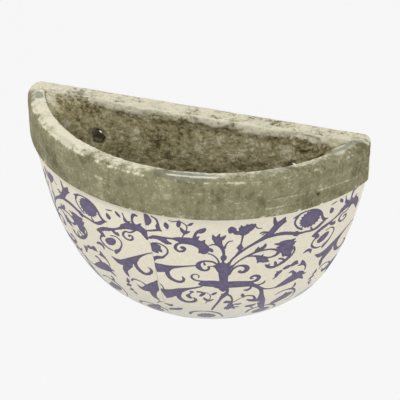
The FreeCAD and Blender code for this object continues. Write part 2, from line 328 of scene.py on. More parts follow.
def print_upper_stems(ink):
    """The stems and flowers that rise from the vase towards the band."""
    ink.stroke((46.4, 48, 0.75), (46, 44, 0.65), (44.4, 40.4, 0.6), (42, 37.3, 0.6), (39, 35.5, 0.65))
    ink.stroke((49.4, 43.8, 0.8), (49.5, 40.5, 2.3), (49.5, 37.5, 1.1), (49, 33, 1.2),
               (47.9, 29.5, 1.5), (46.2, 26, 2.1), (45, 22.5, 2.9), (44.6, 20.3, 2.9))
    ink.stroke((42.6, 20, 1.7), (41.6, 16.3, 0.6))
    ink.stroke((45, 18.5, 1.4), (46.1, 15.3, 0.5))
    ink.stroke((47.6, 20, 1.9), (50, 17.1, 0.6))
    ink.stroke((47, 28.3, 0.8), (44.4, 26.5, 0.8), (41.5, 26, 0.7), (39.5, 27, 0.5))
    ink.stroke((49.9, 30, 0.8), (50.7, 26, 0.6), (52.4, 23.3, 0.6), (54.9, 22.7, 0.5))
    ink.stroke((56.3, 41.5, 0.65), (58.5, 37, 0.65), (60.3, 33.3, 0.7))
    ink.stroke((60.5, 26.8, 0.7), (60.2, 30.3, 2.0), (60.5, 33.6, 0.6))
    ink.stroke((57.9, 30.3, 0.5), (62.4, 30.9, 0.7))
    ink.stroke((60.6, 27.3, 0.6), (61.2, 22, 0.65), (61.5, 17.5, 0.9))
    print_crown_flower(ink)
    ink.stroke((53.4, 49, 1.0), (55, 43.5, 0.9), (58, 39, 0.95), (61.5, 34.8, 1.05),
               (66, 30.5, 1.15), (71, 26.8, 1.4), (75.5, 23.8, 1.9), (78.2, 21.3, 2.3),
               (81.4, 18, 2.6), (83.6, 14.5, 2.8), (86, 11.5, 2.8), (88.4, 9, 2.0), (89.5, 6.3, 0.8))
    ink.stroke((84.2, 12, 2.0), (82.8, 8.5, 1.4), (82, 4.3, 0.8))
    ink.stroke((87.5, 11.5, 1.6), (90.7, 10.2, 0.7))
    ink.stroke((79.2, 19, 1.4), (77, 17.3, 0.8), (74.8, 17, 0.8), (73.3, 18, 0.6))
    ink.stroke((76.2, 18.3, 0.6), (74.8, 19.7, 0.6))
    ink.stroke((76, 23.9, 1.2), (80, 22.7, 1.4), (85, 21.9, 1.6), (90, 22.2, 1.7), (95, 23.7, 1.6),
               (99, 25.6, 1.4), (103, 27, 0.9), teeth=0.7, spacing=2.4)
    ink.stroke((98, 25, 1.6), (100.2, 27, 1.7), (101.3, 28.5, 0.6))
    ink.stroke((55.3, 52, 1.0), (58, 47.8, 0.75), (61.5, 43.8, 0.75), (66, 40.4, 0.95),
               (71, 37.5, 1.1), (76, 36.3, 0.95), (81, 36.3, 0.85), (85, 37.5, 1.0), (89, 40, 1.5))
    ink.stroke((66, 40.8, 0.7), (70, 41, 0.9), (73.5, 42.3, 1.4), (76, 45.5, 2.8), (78.8, 47.8, 2.3),
               (82.3, 50, 0.7), teeth=0.8, spacing=2.0)
    ink.stroke((74.6, 47.5, 1.2), (74.2, 49.8, 0.5))
    ink.stroke((76.5, 43.5, 1.0), (77.2, 41, 0.5))
    ink.stroke((78, 44.2, 1.3), (81, 45.4, 1.0), (85, 45.2, 0.9), (88, 43.5, 1.2))
    ink.stroke((71.4, 36.3, 0.9), (72.6, 34.5, 1.4), (75, 34.3, 1.6), (77.4, 32.6, 1.5),
               (78, 29.9, 0.7))
    ink.stroke((72.8, 34, 0.8), (73, 31.8, 0.5))
    ink.stroke((54.4, 60, 0.8), (55.8, 55, 1.0), (58.5, 51.6, 0.95), (62, 50.3, 1.0),
               (65.7, 51.7, 1.7), (67, 55, 1.9), (65.1, 57.9, 1.7), (62.2, 58.2, 1.2),
               (61, 56.8, 0.8), (62.4, 56, 0.5))


def print_crown_flower(ink):
    """The fan-shaped flower at the top, right of the axis."""
    ink.stroke((53.2, 13.6, 1.5), (52.6, 11, 1.3), (53.6, 9.5, 1.4), (55.5, 11.5, 1.8), (57, 14.5, 2.1))
    ink.stroke((57.5, 15, 2.2), (60.2, 13, 3.4), (63, 12, 3.6), (66, 10.8, 2.6), (68.7, 8.3, 1.2),
               teeth=0.9, spacing=1.7)
    ink.stroke((59.5, 15.5, 1.6), (62, 16, 1.9), (64.5, 14.5, 1.8), teeth=0.8, spacing=1.8)
    ink.stroke((60.5, 9.5, 1.0), (60, 7.8, 0.6))
    ink.stroke((63.5, 9, 1.0), (63.6, 7.2, 0.5))
    ink.stroke((66, 8.8, 1.0), (66.8, 7, 0.5))
    ink.clear((57.4, 9.6, 0.7), (57.9, 12.2, 0.7))
    ink.stroke((69.5, 9.5, 0.55), (71, 12, 0.55), (74, 12.8, 0.45))
    ink.stroke((64.3, 7.4, 0.4), (68.2, 8, 0.5))


def print_big_flower(ink):
    """The thistle flower at the end of the middle stem, cupped by a ring of leaves."""
    ink.stroke((88.4, 32.3, 1.6), (91.5, 33.2, 2.9), (95, 34.3, 3.8), (98.2, 36.3, 2.4),
               teeth=0.9, spacing=1.9)
    ink.stroke((91, 38, 3.6), (93.5, 39.5, 4.4), (96.3, 41, 3.6), (97, 44.5, 2.4), (96.4, 47.8, 1.4),
               teeth=0.9, spacing=2.1)
    ink.stroke((94, 43, 3.0), (93.6, 46.8, 1.5))
    ink.stroke((97.5, 32.5, 1.8), (99.8, 31.4, 0.9))
    ink.stroke((99, 35, 1.6), (101, 34.6, 0.7))
    ink.stroke((88.5, 33, 1.4), (85.2, 31.8, 0.8))
    ink.stroke((89.5, 37, 1.6), (87.3, 35.8, 0.9))
    ink.stroke((89.3, 41, 1.9), (87, 44.3, 1.3), (84, 45.2, 0.8))
    ink.stroke((100.4, 39.5, 0.75), (101.6, 44, 0.9), (100.5, 48, 1.0), (98, 51.6, 1.05),
               (94, 55, 1.3), (90, 57, 1.4), (86, 57.8, 1.5), (82.5, 56, 1.3), (80.4, 53.2, 0.7),
               teeth=0.5, spacing=2.6)
    ink.stroke((98.6, 44, 0.8), (98.4, 48, 0.85), (95.5, 52.5, 0.85), (92, 54.5, 0.9))
    ink.stroke((83.2, 53.2, 0.7), (82.8, 55.2, 1.0))
    ink.stroke((87.6, 52, 0.8), (88.3, 54.6, 1.4))
    ink.stroke((90.4, 49.3, 0.9), (93, 50.5, 1.0), (94.6, 52.2, 0.7))


def print_roundels(ink):
    """The large roundel beside the band, and the smaller one under the branch."""
    ink.rosette(109.6, 14.6, 8.2, 8.4, 19, 0.07)
    ink.stroke((96.3, 9, 0.6), (99, 8, 1.2), (101.5, 6.3, 0.9), (106, 5.5, 0.65), (111, 6, 0.75),
               (115.5, 8.7, 0.85), (118.5, 13, 1.0), (120, 17.5, 1.1), (122, 20.4, 1.2),
               (125.6, 21.4, 0.5))
    ink.stroke((98.8, 9, 1.2), (97.5, 13, 0.75), (98.5, 17, 0.75), (101, 20.5, 0.85), (104, 23, 0.9))
    ink.stroke((99.8, 24.5, 1.4), (103, 26.5, 1.2), (108, 27, 1.0), (113, 27.8, 1.1),
               (117.5, 26.5, 1.6), (121, 23.5, 1.5), (124, 21.5, 0.8))
    ink.stroke((111.3, 24.2, 0.7), (112.7, 26.3, 0.8))
    ink.stroke((122, 44, 1.7), (125, 42, 3.5), (128.4, 39, 2.3), teeth=1.0, spacing=2.2)
    ink.stroke((127, 34.6, 0.6), (131, 33.7, 0.6), (134.5, 36, 0.65), (135.5, 40, 0.65),
               (134, 44.5, 0.75), (132, 48, 1.2), (129, 51, 1.8), (128, 53.6, 0.7))
    ink.stroke((120, 37.5, 1.5), (117, 40.5, 0.85), (116, 44.5, 0.85), (118, 48, 1.0),
               (121.5, 50.5, 0.85), (126, 51.3, 0.6))
    ink.stroke((114.6, 34.3, 0.7), (118, 35.5, 2.0), (120, 38, 1.6))
    ink.stroke((110.3, 51.2, 0.5), (113.5, 49.5, 1.6), (116.5, 51, 1.3), (117, 54.6, 0.4))


def print_branch(ink):
    """The leafy branch beside the roundels, which the seam cuts, and its spiral."""
    ink.stroke((115, 35.2, 1.2), (117, 33.5, 1.6), (121, 30.5, 1.8), (125, 28.8, 1.8),
               (129, 27.2, 1.3), (133, 25, 1.0), (137, 22.4, 1.5), (140, 19.6, 2.5),
               (144, 18.2, 3.1), (148, 17.4, 3.3), (151.5, 17.7, 3.4), (154, 19.8, 2.8),
               (155.5, 23, 2.2), (156.4, 27.4, 0.8), teeth=0.7, spacing=3.2)
    ink.stroke((129, 28, 1.2), (131.5, 30, 1.6), (134, 31, 1.0), (133.6, 28.6, 0.6))
    ink.stroke((151, 15, 1.2), (152.6, 12.8, 0.7))
    ink.stroke((148, 21, 0.8), (144, 24.4, 0.75), (140.6, 24.6, 0.8), (138.6, 26.8, 0.9),
               (138, 29.5, 0.95), (140, 32.3, 0.9), (143.2, 32.7, 0.9), (145.4, 30.5, 0.9),
               (145, 27.9, 0.8), (142.9, 27.7, 0.7), (142.8, 28.8, 0.8))
    ink.stroke((150.3, 5.4, 0.9), (148.2, 5.2, 1.4), (146.8, 8.5, 1.0), (146.7, 12, 0.9),
               (147.6, 15.5, 1.4))


def print_fishtails(ink):
    """Two-tailed leaves that hang from the branch's stem, one above the other."""
    ink.stroke((159.5, 41, 0.5), (156, 42.6, 0.6), (152, 45.5, 0.85), (148.4, 48.6, 1.4),
               (145, 52, 2.3), (141, 56, 3.3), (137, 59.5, 3.7), (132, 62, 3.2), (127, 61.6, 2.0),
               (123, 59.2, 0.5))
    ink.stroke((138, 62, 3.4), (135, 66.5, 2.9), (133, 71, 2.2), (133.7, 75.5, 1.5), (134.8, 78.8, 0.4))
    ink.stroke((130.5, 63, 2.6), (127.5, 63.5, 1.4))
    ink.stroke((147, 52, 1.2), (144.7, 56, 1.2), (144.3, 60.5, 1.7), (146.5, 65, 1.9),
               (150, 67.8, 1.7), (153.5, 67.2, 1.5), (156.2, 64, 1.4), (156.4, 61, 1.1),
               (154.2, 59, 0.5), teeth=0.6, spacing=2.6)
    ink.stroke((159.7, 73, 0.4), (158, 77, 1.8), (155.5, 81.5, 3.7), (152.5, 86, 4.7),
               (147.5, 89.3, 3.3), (144, 90, 2.1), (140.3, 86.4, 0.5))
    ink.stroke((157.8, 80, 2.1), (157.3, 86, 2.4), (154.5, 88, 3.4), (153.3, 94, 2.9),
               (153.8, 98.5, 2.2), (156, 102, 1.2), (157.2, 104, 0.4))
    ink.stroke((136, 83, 0.8), (137.5, 80.2, 0.9), (141, 79.3, 0.8), (145.5, 80.5, 0.65),
               (149, 83.8, 1.2))


def print_seam_scrolls(ink):
    """Scrolls that start at the seam: the branch, the cut roundel and two wide fishtails."""
    ink.stroke((-2.6, 25.7, 0.9), (1.5, 23.5, 1.8), (5, 23.6, 2.0), (8, 24.8, 2.5),
               (10.4, 27, 2.0), (12.8, 27.6, 1.1), teeth=0.5, spacing=2.5)
    ink.stroke((3, 22.3, 1.0), (9, 22.4, 1.0), (14, 22.3, 1.0), (18, 22, 1.9))
    ink.stroke((17.3, 22.6, 2.3), (22, 22.4, 2.4), (27, 22.7, 2.8), (31, 25, 3.5), (34.4, 27.6, 3.4),
               (36, 31, 3.5), (35.7, 34, 2.5), teeth=0.9, spacing=2.1)
    ink.stroke((34.5, 24.5, 1.9), (36.2, 21.6, 0.6))
    ink.stroke((37.5, 31.4, 2.0), (40.3, 31.6, 1.7), (41.6, 33.8, 0.6))
    ink.stroke((33.4, 33, 1.4), (32.6, 35.2, 0.5))
    ink.stroke((30, 27.2, 0.8), (25, 25.8, 0.95), (20, 26, 0.95), (17, 28.5, 1.15), (16.3, 32, 1.15),
               (18.5, 34.8, 1.05), (21.5, 34.2, 1.1), (22.9, 31.7, 1.0), (21.7, 29.8, 0.8),
               (20.3, 30.4, 0.8), (20.9, 31.4, 0.9))
    ink.stroke((29.4, 20, 1.4), (29.9, 16.5, 1.1), (31.2, 13.6, 1.2), (33.5, 12.7, 2.2),
               (35.2, 11.4, 1.9), (36.2, 10, 1.0))
    ink.stroke((31, 20, 1.4), (32.4, 17.8, 0.5))
    ink.stroke((0.4, 32.2, 2.4), (3, 33, 2.7), (5.4, 32.3, 0.8))
    ink.stroke((0.6, 36, 3.2), (4, 35.8, 2.2), (6.2, 38, 0.7))
    ink.stroke((1.4, 38, 2.0), (3.4, 39.4, 0.9))
    ink.stroke((0.4, 30, 0.7), (4, 29.3, 0.65), (7.8, 30.8, 0.65), (10.4, 34, 0.65),
               (10.6, 38, 0.7), (8.6, 41.5, 0.8), (6.4, 44, 1.2), (3, 44.8, 1.8), (0.6, 46.6, 1.5),
               (0.4, 49, 0.5))
    ink.funnel((0.3, 57, 5.4), (5, 56.4, 4.6), (9, 55.4, 3.4), (13, 53.6, 1.9), (18, 52.2, 1.25),
               (24, 50.7, 0.85), (31, 49.2, 0.7))
    ink.stroke((11, 55.5, 1.6), (9.2, 59, 1.7), (9.2, 63, 1.8), (10.6, 66.6, 1.8), (13.4, 69.2, 1.6),
               (16.5, 70.5, 1.5), (19.5, 70, 1.4), (21, 67.5, 1.2), (20.8, 65.3, 0.9),
               (19.8, 63.3, 0.4), teeth=0.6, spacing=2.4)
    ink.stroke((46, 50.2, 1.0), (44.5, 47, 0.85), (42, 44.8, 0.95), (38, 43.9, 0.95), (34, 44.9, 1.2),
               (32, 47.6, 1.7), (32.3, 51, 2.0), (34.5, 53.9, 1.4), (37.5, 54.5, 1.1),
               (39.5, 52.5, 1.0), (39, 50.2, 0.8))
    ink.stroke((36, 45.8, 0.5), (36.5, 48, 1.0))
    ink.stroke((39.4, 50, 0.6), (42, 49.7, 0.55), (44.5, 51, 0.8))
    ink.funnel((2.4, 90.2, 7.0), (7, 88.8, 5.7), (11.5, 86.2, 4.5), (16, 83, 3.4), (20, 80.6, 2.3),
               (25, 78.3, 1.3), (30, 76.4, 1.0), (34, 74.6, 0.9))
    ink.stroke((17, 84, 2.2), (15.7, 88, 2.1), (15.7, 92.5, 2.0), (18, 96.4, 2.0), (21.5, 98.3, 1.7),
               (25.5, 98, 1.6), (28.5, 96.2, 1.6), (29.3, 93.5, 1.3), (27.9, 91.2, 0.7),
               teeth=0.6, spacing=2.4)
    ink.stroke((23.4, 88.6, 2.0), (24.6, 91, 1.6), (26.6, 91.8, 0.6))
    ink.stroke((23.9, 86.6, 0.9), (25.4, 85, 0.7), (26, 83.6, 0.7), (27.6, 82.5, 0.9),
               (25.3, 81.9, 0.8))
    ink.stroke((1.7, 76.5, 0.45), (3.2, 79.5, 0.6), (4, 82.8, 0.6))


def print_seam_top(ink):
    """The bud and hook that hang from the band over the seam."""
    ink.stroke((-3, 3.2, 2.0), (-2, 7.5, 2.9), (-2.6, 11.6, 1.3))
    ink.stroke((0.8, 2.6, 0.6), (4, 5, 0.8), (5.1, 9, 0.9), (4.8, 12, 1.6), (5.6, 14.8, 1.4),
               (7.4, 16.1, 0.5))
    ink.stroke((-3, 18.3, 0.7), (1, 16.9, 1.0), (5, 15.4, 1.2))


def print_sprig(ink):
    """A hanging sprig of four buds at the sheet's upper left; its own across starts at its middle."""
    def place(*points):
        return [(SPRIG_ACROSS + x, y, r) for x, y, r in points]
    ink.stroke(*place((-5.5, 4.2, 0.45), (-3, 5, 0.5), (1, 4, 0.5), (4, 5.5, 0.5), (6.3, 8, 0.5),
                      (6.3, 12, 0.5), (5.5, 14.5, 0.7), (4, 18, 0.5), (3, 20.4, 0.45)))
    ink.stroke(*place((-7.7, 7.2, 0.8), (-7.2, 9.8, 1.8), (-6.6, 12.8, 0.6)))
    ink.stroke(*place((1.5, 4, 1.0), (1, 7, 1.6), (0.8, 9.4, 0.9)))
    ink.stroke(*place((7.3, 7.5, 0.5), (8.8, 6.3, 1.2), (10.5, 4.7, 0.5)))
    ink.stroke(*place((2.3, 10.4, 0.7), (3.5, 13, 1.4), (5.2, 15, 1.7)))
    ink.stroke(*place((5.4, 15, 1.5), (8, 13.6, 0.8)))


def print_far_sprig(ink):
    """The loose buds at the sheet's upper right."""
    ink.stroke((126.8, 12, 0.6), (127.8, 15, 2.0), (128, 17.2, 0.6))
    ink.stroke((126.5, 8.5, 0.5), (129, 8, 0.7), (131, 7.5, 0.5))
    ink.stroke((134.5, 7.5, 0.9), (136, 9.5, 1.4), (137.5, 11.5, 0.5))
    ink.stroke((139.5, 6.5, 0.5), (140.5, 10, 0.6), (141.5, 13.5, 1.5), (143.5, 14, 1.0), (145, 13, 0.5))


def print_garland(ink):
    """Leaf beads on a thin stem, above the trumpet flower and again beside the lower fishtail."""
    ink.stroke((117.4, 74, 0.5), (116.8, 69.5, 0.75), (115, 66, 1.2), (112.5, 63.4, 2.0),
               (111.5, 59.8, 0.7))
    ink.stroke((108.8, 64.6, 0.6), (112, 64.6, 1.5))
    ink.stroke((102.6, 61.6, 1.8), (105, 60.2, 2.4), (105.8, 57.8, 0.7), teeth=0.7, spacing=1.7)
    ink.stroke((105.5, 61, 1.4), (107.9, 61.8, 0.7))
    ink.stroke((96.7, 63, 1.8), (99.4, 62, 1.9), teeth=0.7, spacing=1.5)
    ink.stroke((95, 64.6, 0.8), (93, 66.4, 2.0), (91.3, 68.6, 1.7), (91.5, 70.6, 1.2),
               (89.4, 73, 0.6), teeth=0.5, spacing=1.8)
    ink.stroke((90.8, 64.5, 0.5), (92.6, 66, 1.0))
    ink.stroke((132, 81, 0.5), (131.4, 90, 0.45), (132, 100, 0.45))
    ink.stroke((132.3, 82.6, 1.2), (131.8, 86, 1.6), (130, 87.4, 0.6), teeth=0.6, spacing=1.6)
    ink.stroke((128.6, 93.2, 0.6), (130.6, 91.3, 1.8), (132.6, 90.6, 1.2))
    ink.stroke((130.3, 98.4, 0.9), (132.3, 97.4, 1.7))
    ink.stroke((134, 101.3, 1.6), (134.7, 104.3, 0.5))


def print_trumpets(ink):
    """The long trumpet flower on the right arm's stem, and its fainter twin further down."""
    ink.stroke((73, 76, 1.8), (77, 79, 1.8), (80.5, 83, 1.6), (82.5, 88, 1.7), (83.3, 93, 2.2),
               (84, 98, 3.2), (85.5, 103, 3.6), (87, 109, 3.4), (89.5, 116, 2.6), (93, 122, 1.0))
    ink.clear((83.6, 102.5, 0.7), (82.6, 105, 0.5))
    ink.stroke((80, 81, 1.0), (84, 84.3, 0.9), (89, 86, 0.75), (94.4, 86.4, 0.9))
    ink.stroke((94.6, 86, 1.2), (97, 85.2, 2.1), (101, 83.2, 3.4), (105.5, 80.8, 4.6),
               (110, 78.9, 5.3), (112.6, 78.2, 5.1))
    ink.stroke((108, 75, 2.2), (106.4, 71.6, 1.3), (104.5, 69.8, 1.3), (102.9, 70.6, 0.9))
    ink.stroke((112, 74.2, 1.5), (115.2, 74.6, 0.8))
    ink.stroke((115.5, 78.6, 1.8), (119, 78.8, 1.1))
    ink.stroke((115.5, 82, 1.6), (118, 84.2, 1.2), (119.4, 86.2, 0.5))
    ink.stroke((97, 98.5, 0.6), (102, 95.6, 0.8), (107, 95, 0.85), (110.8, 96, 1.2), (115, 98.5, 1.2),
               (118.4, 103.5, 1.0), (120, 109, 0.9), (119, 114, 0.8), (116.6, 119, 0.5))
    ink.stroke((113, 89, 0.8), (113.8, 93, 1.3), (112, 96, 1.1))
    ink.stroke((97.5, 113.5, 1.4), (102, 111.5, 3.8), (107.6, 108, 5.2), (112, 105.8, 4.2),
               (115.4, 104.8, 1.2), teeth=0.9, spacing=2.6)
    ink.stroke((107.6, 106, 2.8), (108.2, 100.6, 1.0))


def print_lower_centre(ink):
    """The stalk, buds and curls between the arms and the bottom of the bowl."""
    ink.stroke((54.2, 79, 1.3), (54, 82.5, 1.4), (52.6, 86, 2.3), (50.6, 89.5, 1.9), (49.2, 93, 1.25),
               (47.5, 98, 1.15), (45.5, 103, 1.15), (43.8, 108, 1.1), (43, 111.5, 0.8))
    ink.stroke((50, 85.4, 0.8), (52, 87, 1.6))
    ink.stroke((54.5, 86, 1.2), (57, 88.5, 1.0), (58.5, 92, 0.85), (59.2, 96, 0.85), (59, 100, 1.0))
    ink.stroke((52.6, 98.6, 0.9), (55, 97.6, 2.1), (57.4, 98.2, 1.8), teeth=0.5, spacing=1.7)
    ink.stroke((58, 101, 1.7), (58.5, 105, 3.0), (57.6, 109, 2.0), (56, 111.8, 0.5),
               teeth=0.8, spacing=1.9)
    ink.stroke((54.8, 107, 1.2), (54, 110.8, 0.6))
    ink.stroke((61, 107.6, 1.6), (63, 111, 0.6))
    ink.stroke((62.6, 102.4, 1.2), (65.6, 102.9, 1.3), (67.6, 101.7, 0.5))
    ink.stroke((63.6, 107.4, 1.1), (66.4, 108, 0.6))
    ink.stroke((60, 99, 0.5), (63, 96, 0.5), (66, 93, 0.5))
    ink.stroke((66.8, 86.4, 0.5), (67, 89.4, 1.5), (68.6, 91.6, 1.0), (67, 92.8, 0.5))
    ink.stroke((68.8, 90.5, 0.8), (72.5, 90.8, 0.85), (76, 92.3, 0.95), (77.8, 95, 1.0),
               (78.8, 98.4, 1.4))
    ink.stroke((71.8, 96.8, 0.8), (75, 98.8, 1.8), (79, 100, 2.3), (82.5, 101, 2.3))
    ink.stroke((72.4, 108.4, 1.2), (75, 109, 2.0), (79, 108.5, 1.8), (81.3, 106.8, 0.6),
               teeth=0.6, spacing=2.0)
    ink.stroke((78, 111.8, 0.9), (81, 115.2, 0.5))
    ink.stroke((31.3, 82, 1.2), (34.6, 82.3, 0.9))
    ink.stroke((33.4, 87.6, 1.3), (35.4, 84.8, 1.7), (36.6, 82.8, 0.7))
    ink.stroke((36.5, 82.8, 0.5), (39, 83.8, 0.45), (41, 86.5, 0.45), (41, 91, 0.45),
               (39.5, 94.5, 0.7), (38, 97.5, 0.5), (37, 99.2, 0.4))
    ink.stroke((42.2, 86, 0.5), (44, 84.3, 1.5), (45.9, 82.4, 0.5))
    ink.stroke((36, 90.4, 0.7), (37.4, 93, 1.5), (39.6, 95.2, 1.1))
    ink.stroke((40.5, 95, 1.2), (43.2, 93, 0.8))


def print_bottom_row(ink):
    """The ring, buds and leaves on the underside, which repeat round the sheet."""
    for across in (38, 92, 146):
        ink.rosette(across, 126, 9.2, 6.6, 15, 0.06)
        ink.stroke(*[(across + x, y, r) for x, y, r in (
            (-15.5, 124.5, 0.9), (-14.5, 119.4, 1.6), (-10, 115.9, 1.1), (-2, 114.4, 0.8),
            (6, 115.8, 1.2), (11, 119, 1.3), (14.5, 124, 1.0), (16.5, 131, 0.8))])
    ink.stroke((1.4, 107, 0.7), (4, 107.9, 1.6), (6.6, 109, 1.8), (7.8, 106.3, 0.5))
    ink.stroke((2.6, 118.6, 1.0), (6, 116.6, 2.2), (10, 115.5, 2.3), (13.6, 113.6, 2.1),
               (16.4, 111.3, 0.6), teeth=0.6, spacing=2.2)
    ink.stroke((153.5, 109, 0.5), (156, 106.3, 0.8), (159, 105.5, 0.7))
    ink.stroke((138, 126, 1.4), (144, 122, 3.4), (150, 118.6, 3.9), (153.2, 114.6, 2.0))
    for across in (12, 65, 119):
        ink.stroke(*[(across + x, y, r) for x, y, r in (
            (-9, 150, 0.8), (-4, 144, 2.6), (2, 141, 3.4), (8, 143, 2.6), (13, 148, 1.0))],
            teeth=0.8, spacing=2.8)
        ink.stroke(*[(across + x, y, r) for x, y, r in (
            (2, 144, 1.0), (3, 152, 0.9), (9, 158, 0.9), (16, 156, 1.1), (16, 151, 1.4),
            (12, 151, 0.8))])
        ink.rosette(across + 33, 152, 6.5, 4.6, 11, 0.1)


def draw_print(across, down):
    """The whole sheet's pattern, as distances to the ink."""
    ink = Ink(across, down)
    for part in (print_vase, print_upper_stems, print_big_flower, print_roundels, print_branch,
                 print_fishtails, print_seam_scrolls, print_seam_top, print_garland,
                 print_trumpets, print_lower_centre, print_bottom_row, print_far_sprig,
                 print_sprig):
        part(ink)
    return ink.distance


# ---------------------------------------------------------------- the printed sheets

ACROSS_PER_RADIAN = 120.0
LEFT_SHEET_SHIFT = 160.0     # the left sheet's print is the right one's, moved along by this
PRINT_STRETCH = 1.0254       # mm of print for each mm of bowl
PRINT_START = 4.6            # the print's across at the front of the bowl
PRINT_RISE = 0.37            # how far the print is laid above the band's foot
PRINT_SLANT = 0.0225         # it is laid slightly askew: its drop for each mm across
SHEET_SPACING = 0.62         # between mesh points
SHEET_TOP_GAP = 0.35         # from the band's foot down to the sheets
SHEET_FOOT_GAP = 0.3
HALF_SEAM = 0.16             # half of the gap between the two sheets
TORN_EDGE = 0.25             # how far the sheets' edges wander along the seam
SKIRT_DEPTH = 0.4            # how far a sheet's edge is turned down into the bowl
SEAM = ((0, -4.6), (12, -4.0), (20, -3.2), (28, -2.8), (32, -1.4), (50, -0.1), (72, 0.5),
        (84, 1.1), (100, 1.4), (112, 0.4), (200, 0.0))   # (down, across)


def on_bowl(across, down, lift):
    """Points over the bowl's outside, lifted off it along its normal."""
    (radius, height), run = OUTSIDE.T, OUTSIDE_RUN
    slope_r, slope_z = np.gradient(radius, run), np.gradient(height, run)
    r = np.interp(down, run, radius) - lift * np.interp(down, run, slope_z)
    z = np.interp(down, run, height) + lift * np.interp(down, run, slope_r)
    turn = across / ACROSS_PER_RADIAN
    return np.stack([r * np.sin(turn), AXIS_Y - r * np.cos(turn), z], -1)


def on_print(across, down):
    """The print's own coordinates for places on the bowl."""
    return (PRINT_START + PRINT_STRETCH * across,
            PRINT_SLANT * across + PRINT_STRETCH * down - PRINT_RISE)


def sheet_grid(side):
    """Rows of (across, down) over one sheet, from the seam to its end near the wall."""
    radius, run = OUTSIDE[:, 0], OUTSIDE_RUN
    last = np.interp(AXIS_Y - SHEET_WALL_Y, radius[::-1], run[::-1])
    down = np.arange(SHEET_TOP_GAP, last - SHEET_FOOT_GAP, SHEET_SPACING)
    r = np.interp(down, run, radius)
    end = ACROSS_PER_RADIAN * np.arccos((AXIS_Y - SHEET_WALL_Y) / r)
    seam = (np.interp(PRINT_STRETCH * down, *zip(*SEAM)) - PRINT_START) / PRINT_STRETCH
    torn = TORN_EDGE * smooth_noise(np.column_stack([down, 0 * down, 0 * down]), 3.1, 71)
    seam = seam + torn + side * HALF_SEAM
    if side > 0:
        seam = np.minimum(seam, end - 0.5)
    columns = int(end.max() * r.max() / ACROSS_PER_RADIAN / SHEET_SPACING)
    t = np.linspace(0, 1, columns)
    across = seam[:, None] + t * (side * end - seam)[:, None]
    return across, np.broadcast_to(down[:, None], across.shape).copy()


def add_sheet(name, node, side):
    across, down = sheet_grid(side)
    print_across, print_down = on_print(across, down)
    ink = draw_print(print_across if side > 0 else print_across + LEFT_SHEET_SHIFT, print_down)
    rows, columns = across.shape
    flat = np.column_stack([across.ravel(), down.ravel(), 0 * down.ravel()])
    ripple = 0.12 * fractal(flat, 26, 81, 3) - 0.12
    points = on_bowl(across, down, SHEET_FACE + ripple.reshape(across.shape)).reshape(-1, 3)
    corner = (np.arange(rows - 1)[:, None] * columns + np.arange(columns - 1)).ravel()
    faces = np.stack([corner, corner + 1, corner + columns + 1, corner + columns], 1)
    if side > 0:
        faces = faces[:, ::-1]
    away = points - DRAIN_PLACE
    along = away @ DRAIN_WAY
    from_drain = np.sqrt(np.maximum((away ** 2).sum(1) - along ** 2, 0))
    faces = faces[(from_drain[faces] > SHEET_DRAIN_RADIUS).all(1)]
    skirt = on_bowl(across, down, -SKIRT_DEPTH).reshape(-1, 3)
    points, faces, source = with_skirt(in_box(points), faces, skirt)
    piece = add_mesh(name, points, faces)
    set_mask(piece, "ink", ink.ravel()[source])
    set_mask(piece, "down", down.ravel()[source])
    grid = np.column_stack([(across.ravel() - across.min()) / np.ptp(across), 1 - down.ravel() / down.max()])
    set_map(piece, grid[source])
    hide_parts(node)
    return piece


def with_skirt(points, faces, skirt):
    """The faces with their open edges turned down on to the bowl; also each point's grid number."""
    edges = np.concatenate([faces[:, [i, (i + 1) % 4]] for i in range(4)])
    key = np.sort(edges, 1)
    _, first, count = np.unique(key, axis=0, return_index=True, return_counts=True)
    border = edges[first[count == 1]]
    rim = np.unique(border)
    down_to = np.full(len(points), -1)
    down_to[rim] = len(points) + np.arange(len(rim))
    wall = np.stack([border[:, 1], border[:, 0], down_to[border[:, 0]], down_to[border[:, 1]]], 1)
    source = np.r_[np.arange(len(points)), rim]
    points = np.vstack([points, skirt[rim]])
    faces = np.vstack([faces, wall])
    used = np.unique(faces)
    renumber = np.full(len(points), -1)
    renumber[used] = np.arange(len(used))
    return points[used], renumber[faces], source[used]


# ---------------------------------------------------------------- mesh helpers

def add_mesh(name, points, faces):
    mesh = bpy.data.meshes.new(name)
    mesh.vertices.add(len(points))
    mesh.vertices.foreach_set("co", (points * MM).astype(np.float32).ravel())
    mesh.loops.add(faces.size)
    mesh.loops.foreach_set("vertex_index", faces.astype(np.int32).ravel())
    mesh.polygons.add(len(faces))
    mesh.polygons.foreach_set("loop_start", np.arange(0, faces.size, 4, dtype=np.int32))
    mesh.update(calc_edges=True)
    mesh.polygons.foreach_set("use_smooth", np.ones(len(faces), bool))
    piece = bpy.data.objects.new(name, mesh)
    bpy.context.scene.collection.objects.link(piece)
    return piece


def set_mask(piece, name, values):
    mask = piece.data.attributes.new(name, "FLOAT", "POINT")
    mask.data.foreach_set("value", values.astype(np.float32))


def set_map(piece, places):
    """A flat map of the piece, one place per mesh point."""
    layer = piece.data.uv_layers.new(name="OFBake")
    index = np.zeros(len(piece.data.loops), np.int32)
    piece.data.loops.foreach_get("vertex_index", index)
    layer.data.foreach_set("uv", places[index].astype(np.float32).ravel())


def mesh_points(mesh):
    points = np.zeros(3 * len(mesh.vertices), np.float32)
    mesh.vertices.foreach_get("co", points)
    return points.reshape(-1, 3).astype(float) / MM


def mesh_normals(mesh):
    normals = np.zeros(3 * len(mesh.vertices), np.float32)
    mesh.vertex_normals.foreach_get("vector", normals)
    return normals.reshape(-1, 3).astype(float)


# ---------------------------------------------------------------- clay pieces

SEAT_DEPTH = 2.0             # how far a piece reaches into the clay it is joined to, out of sight


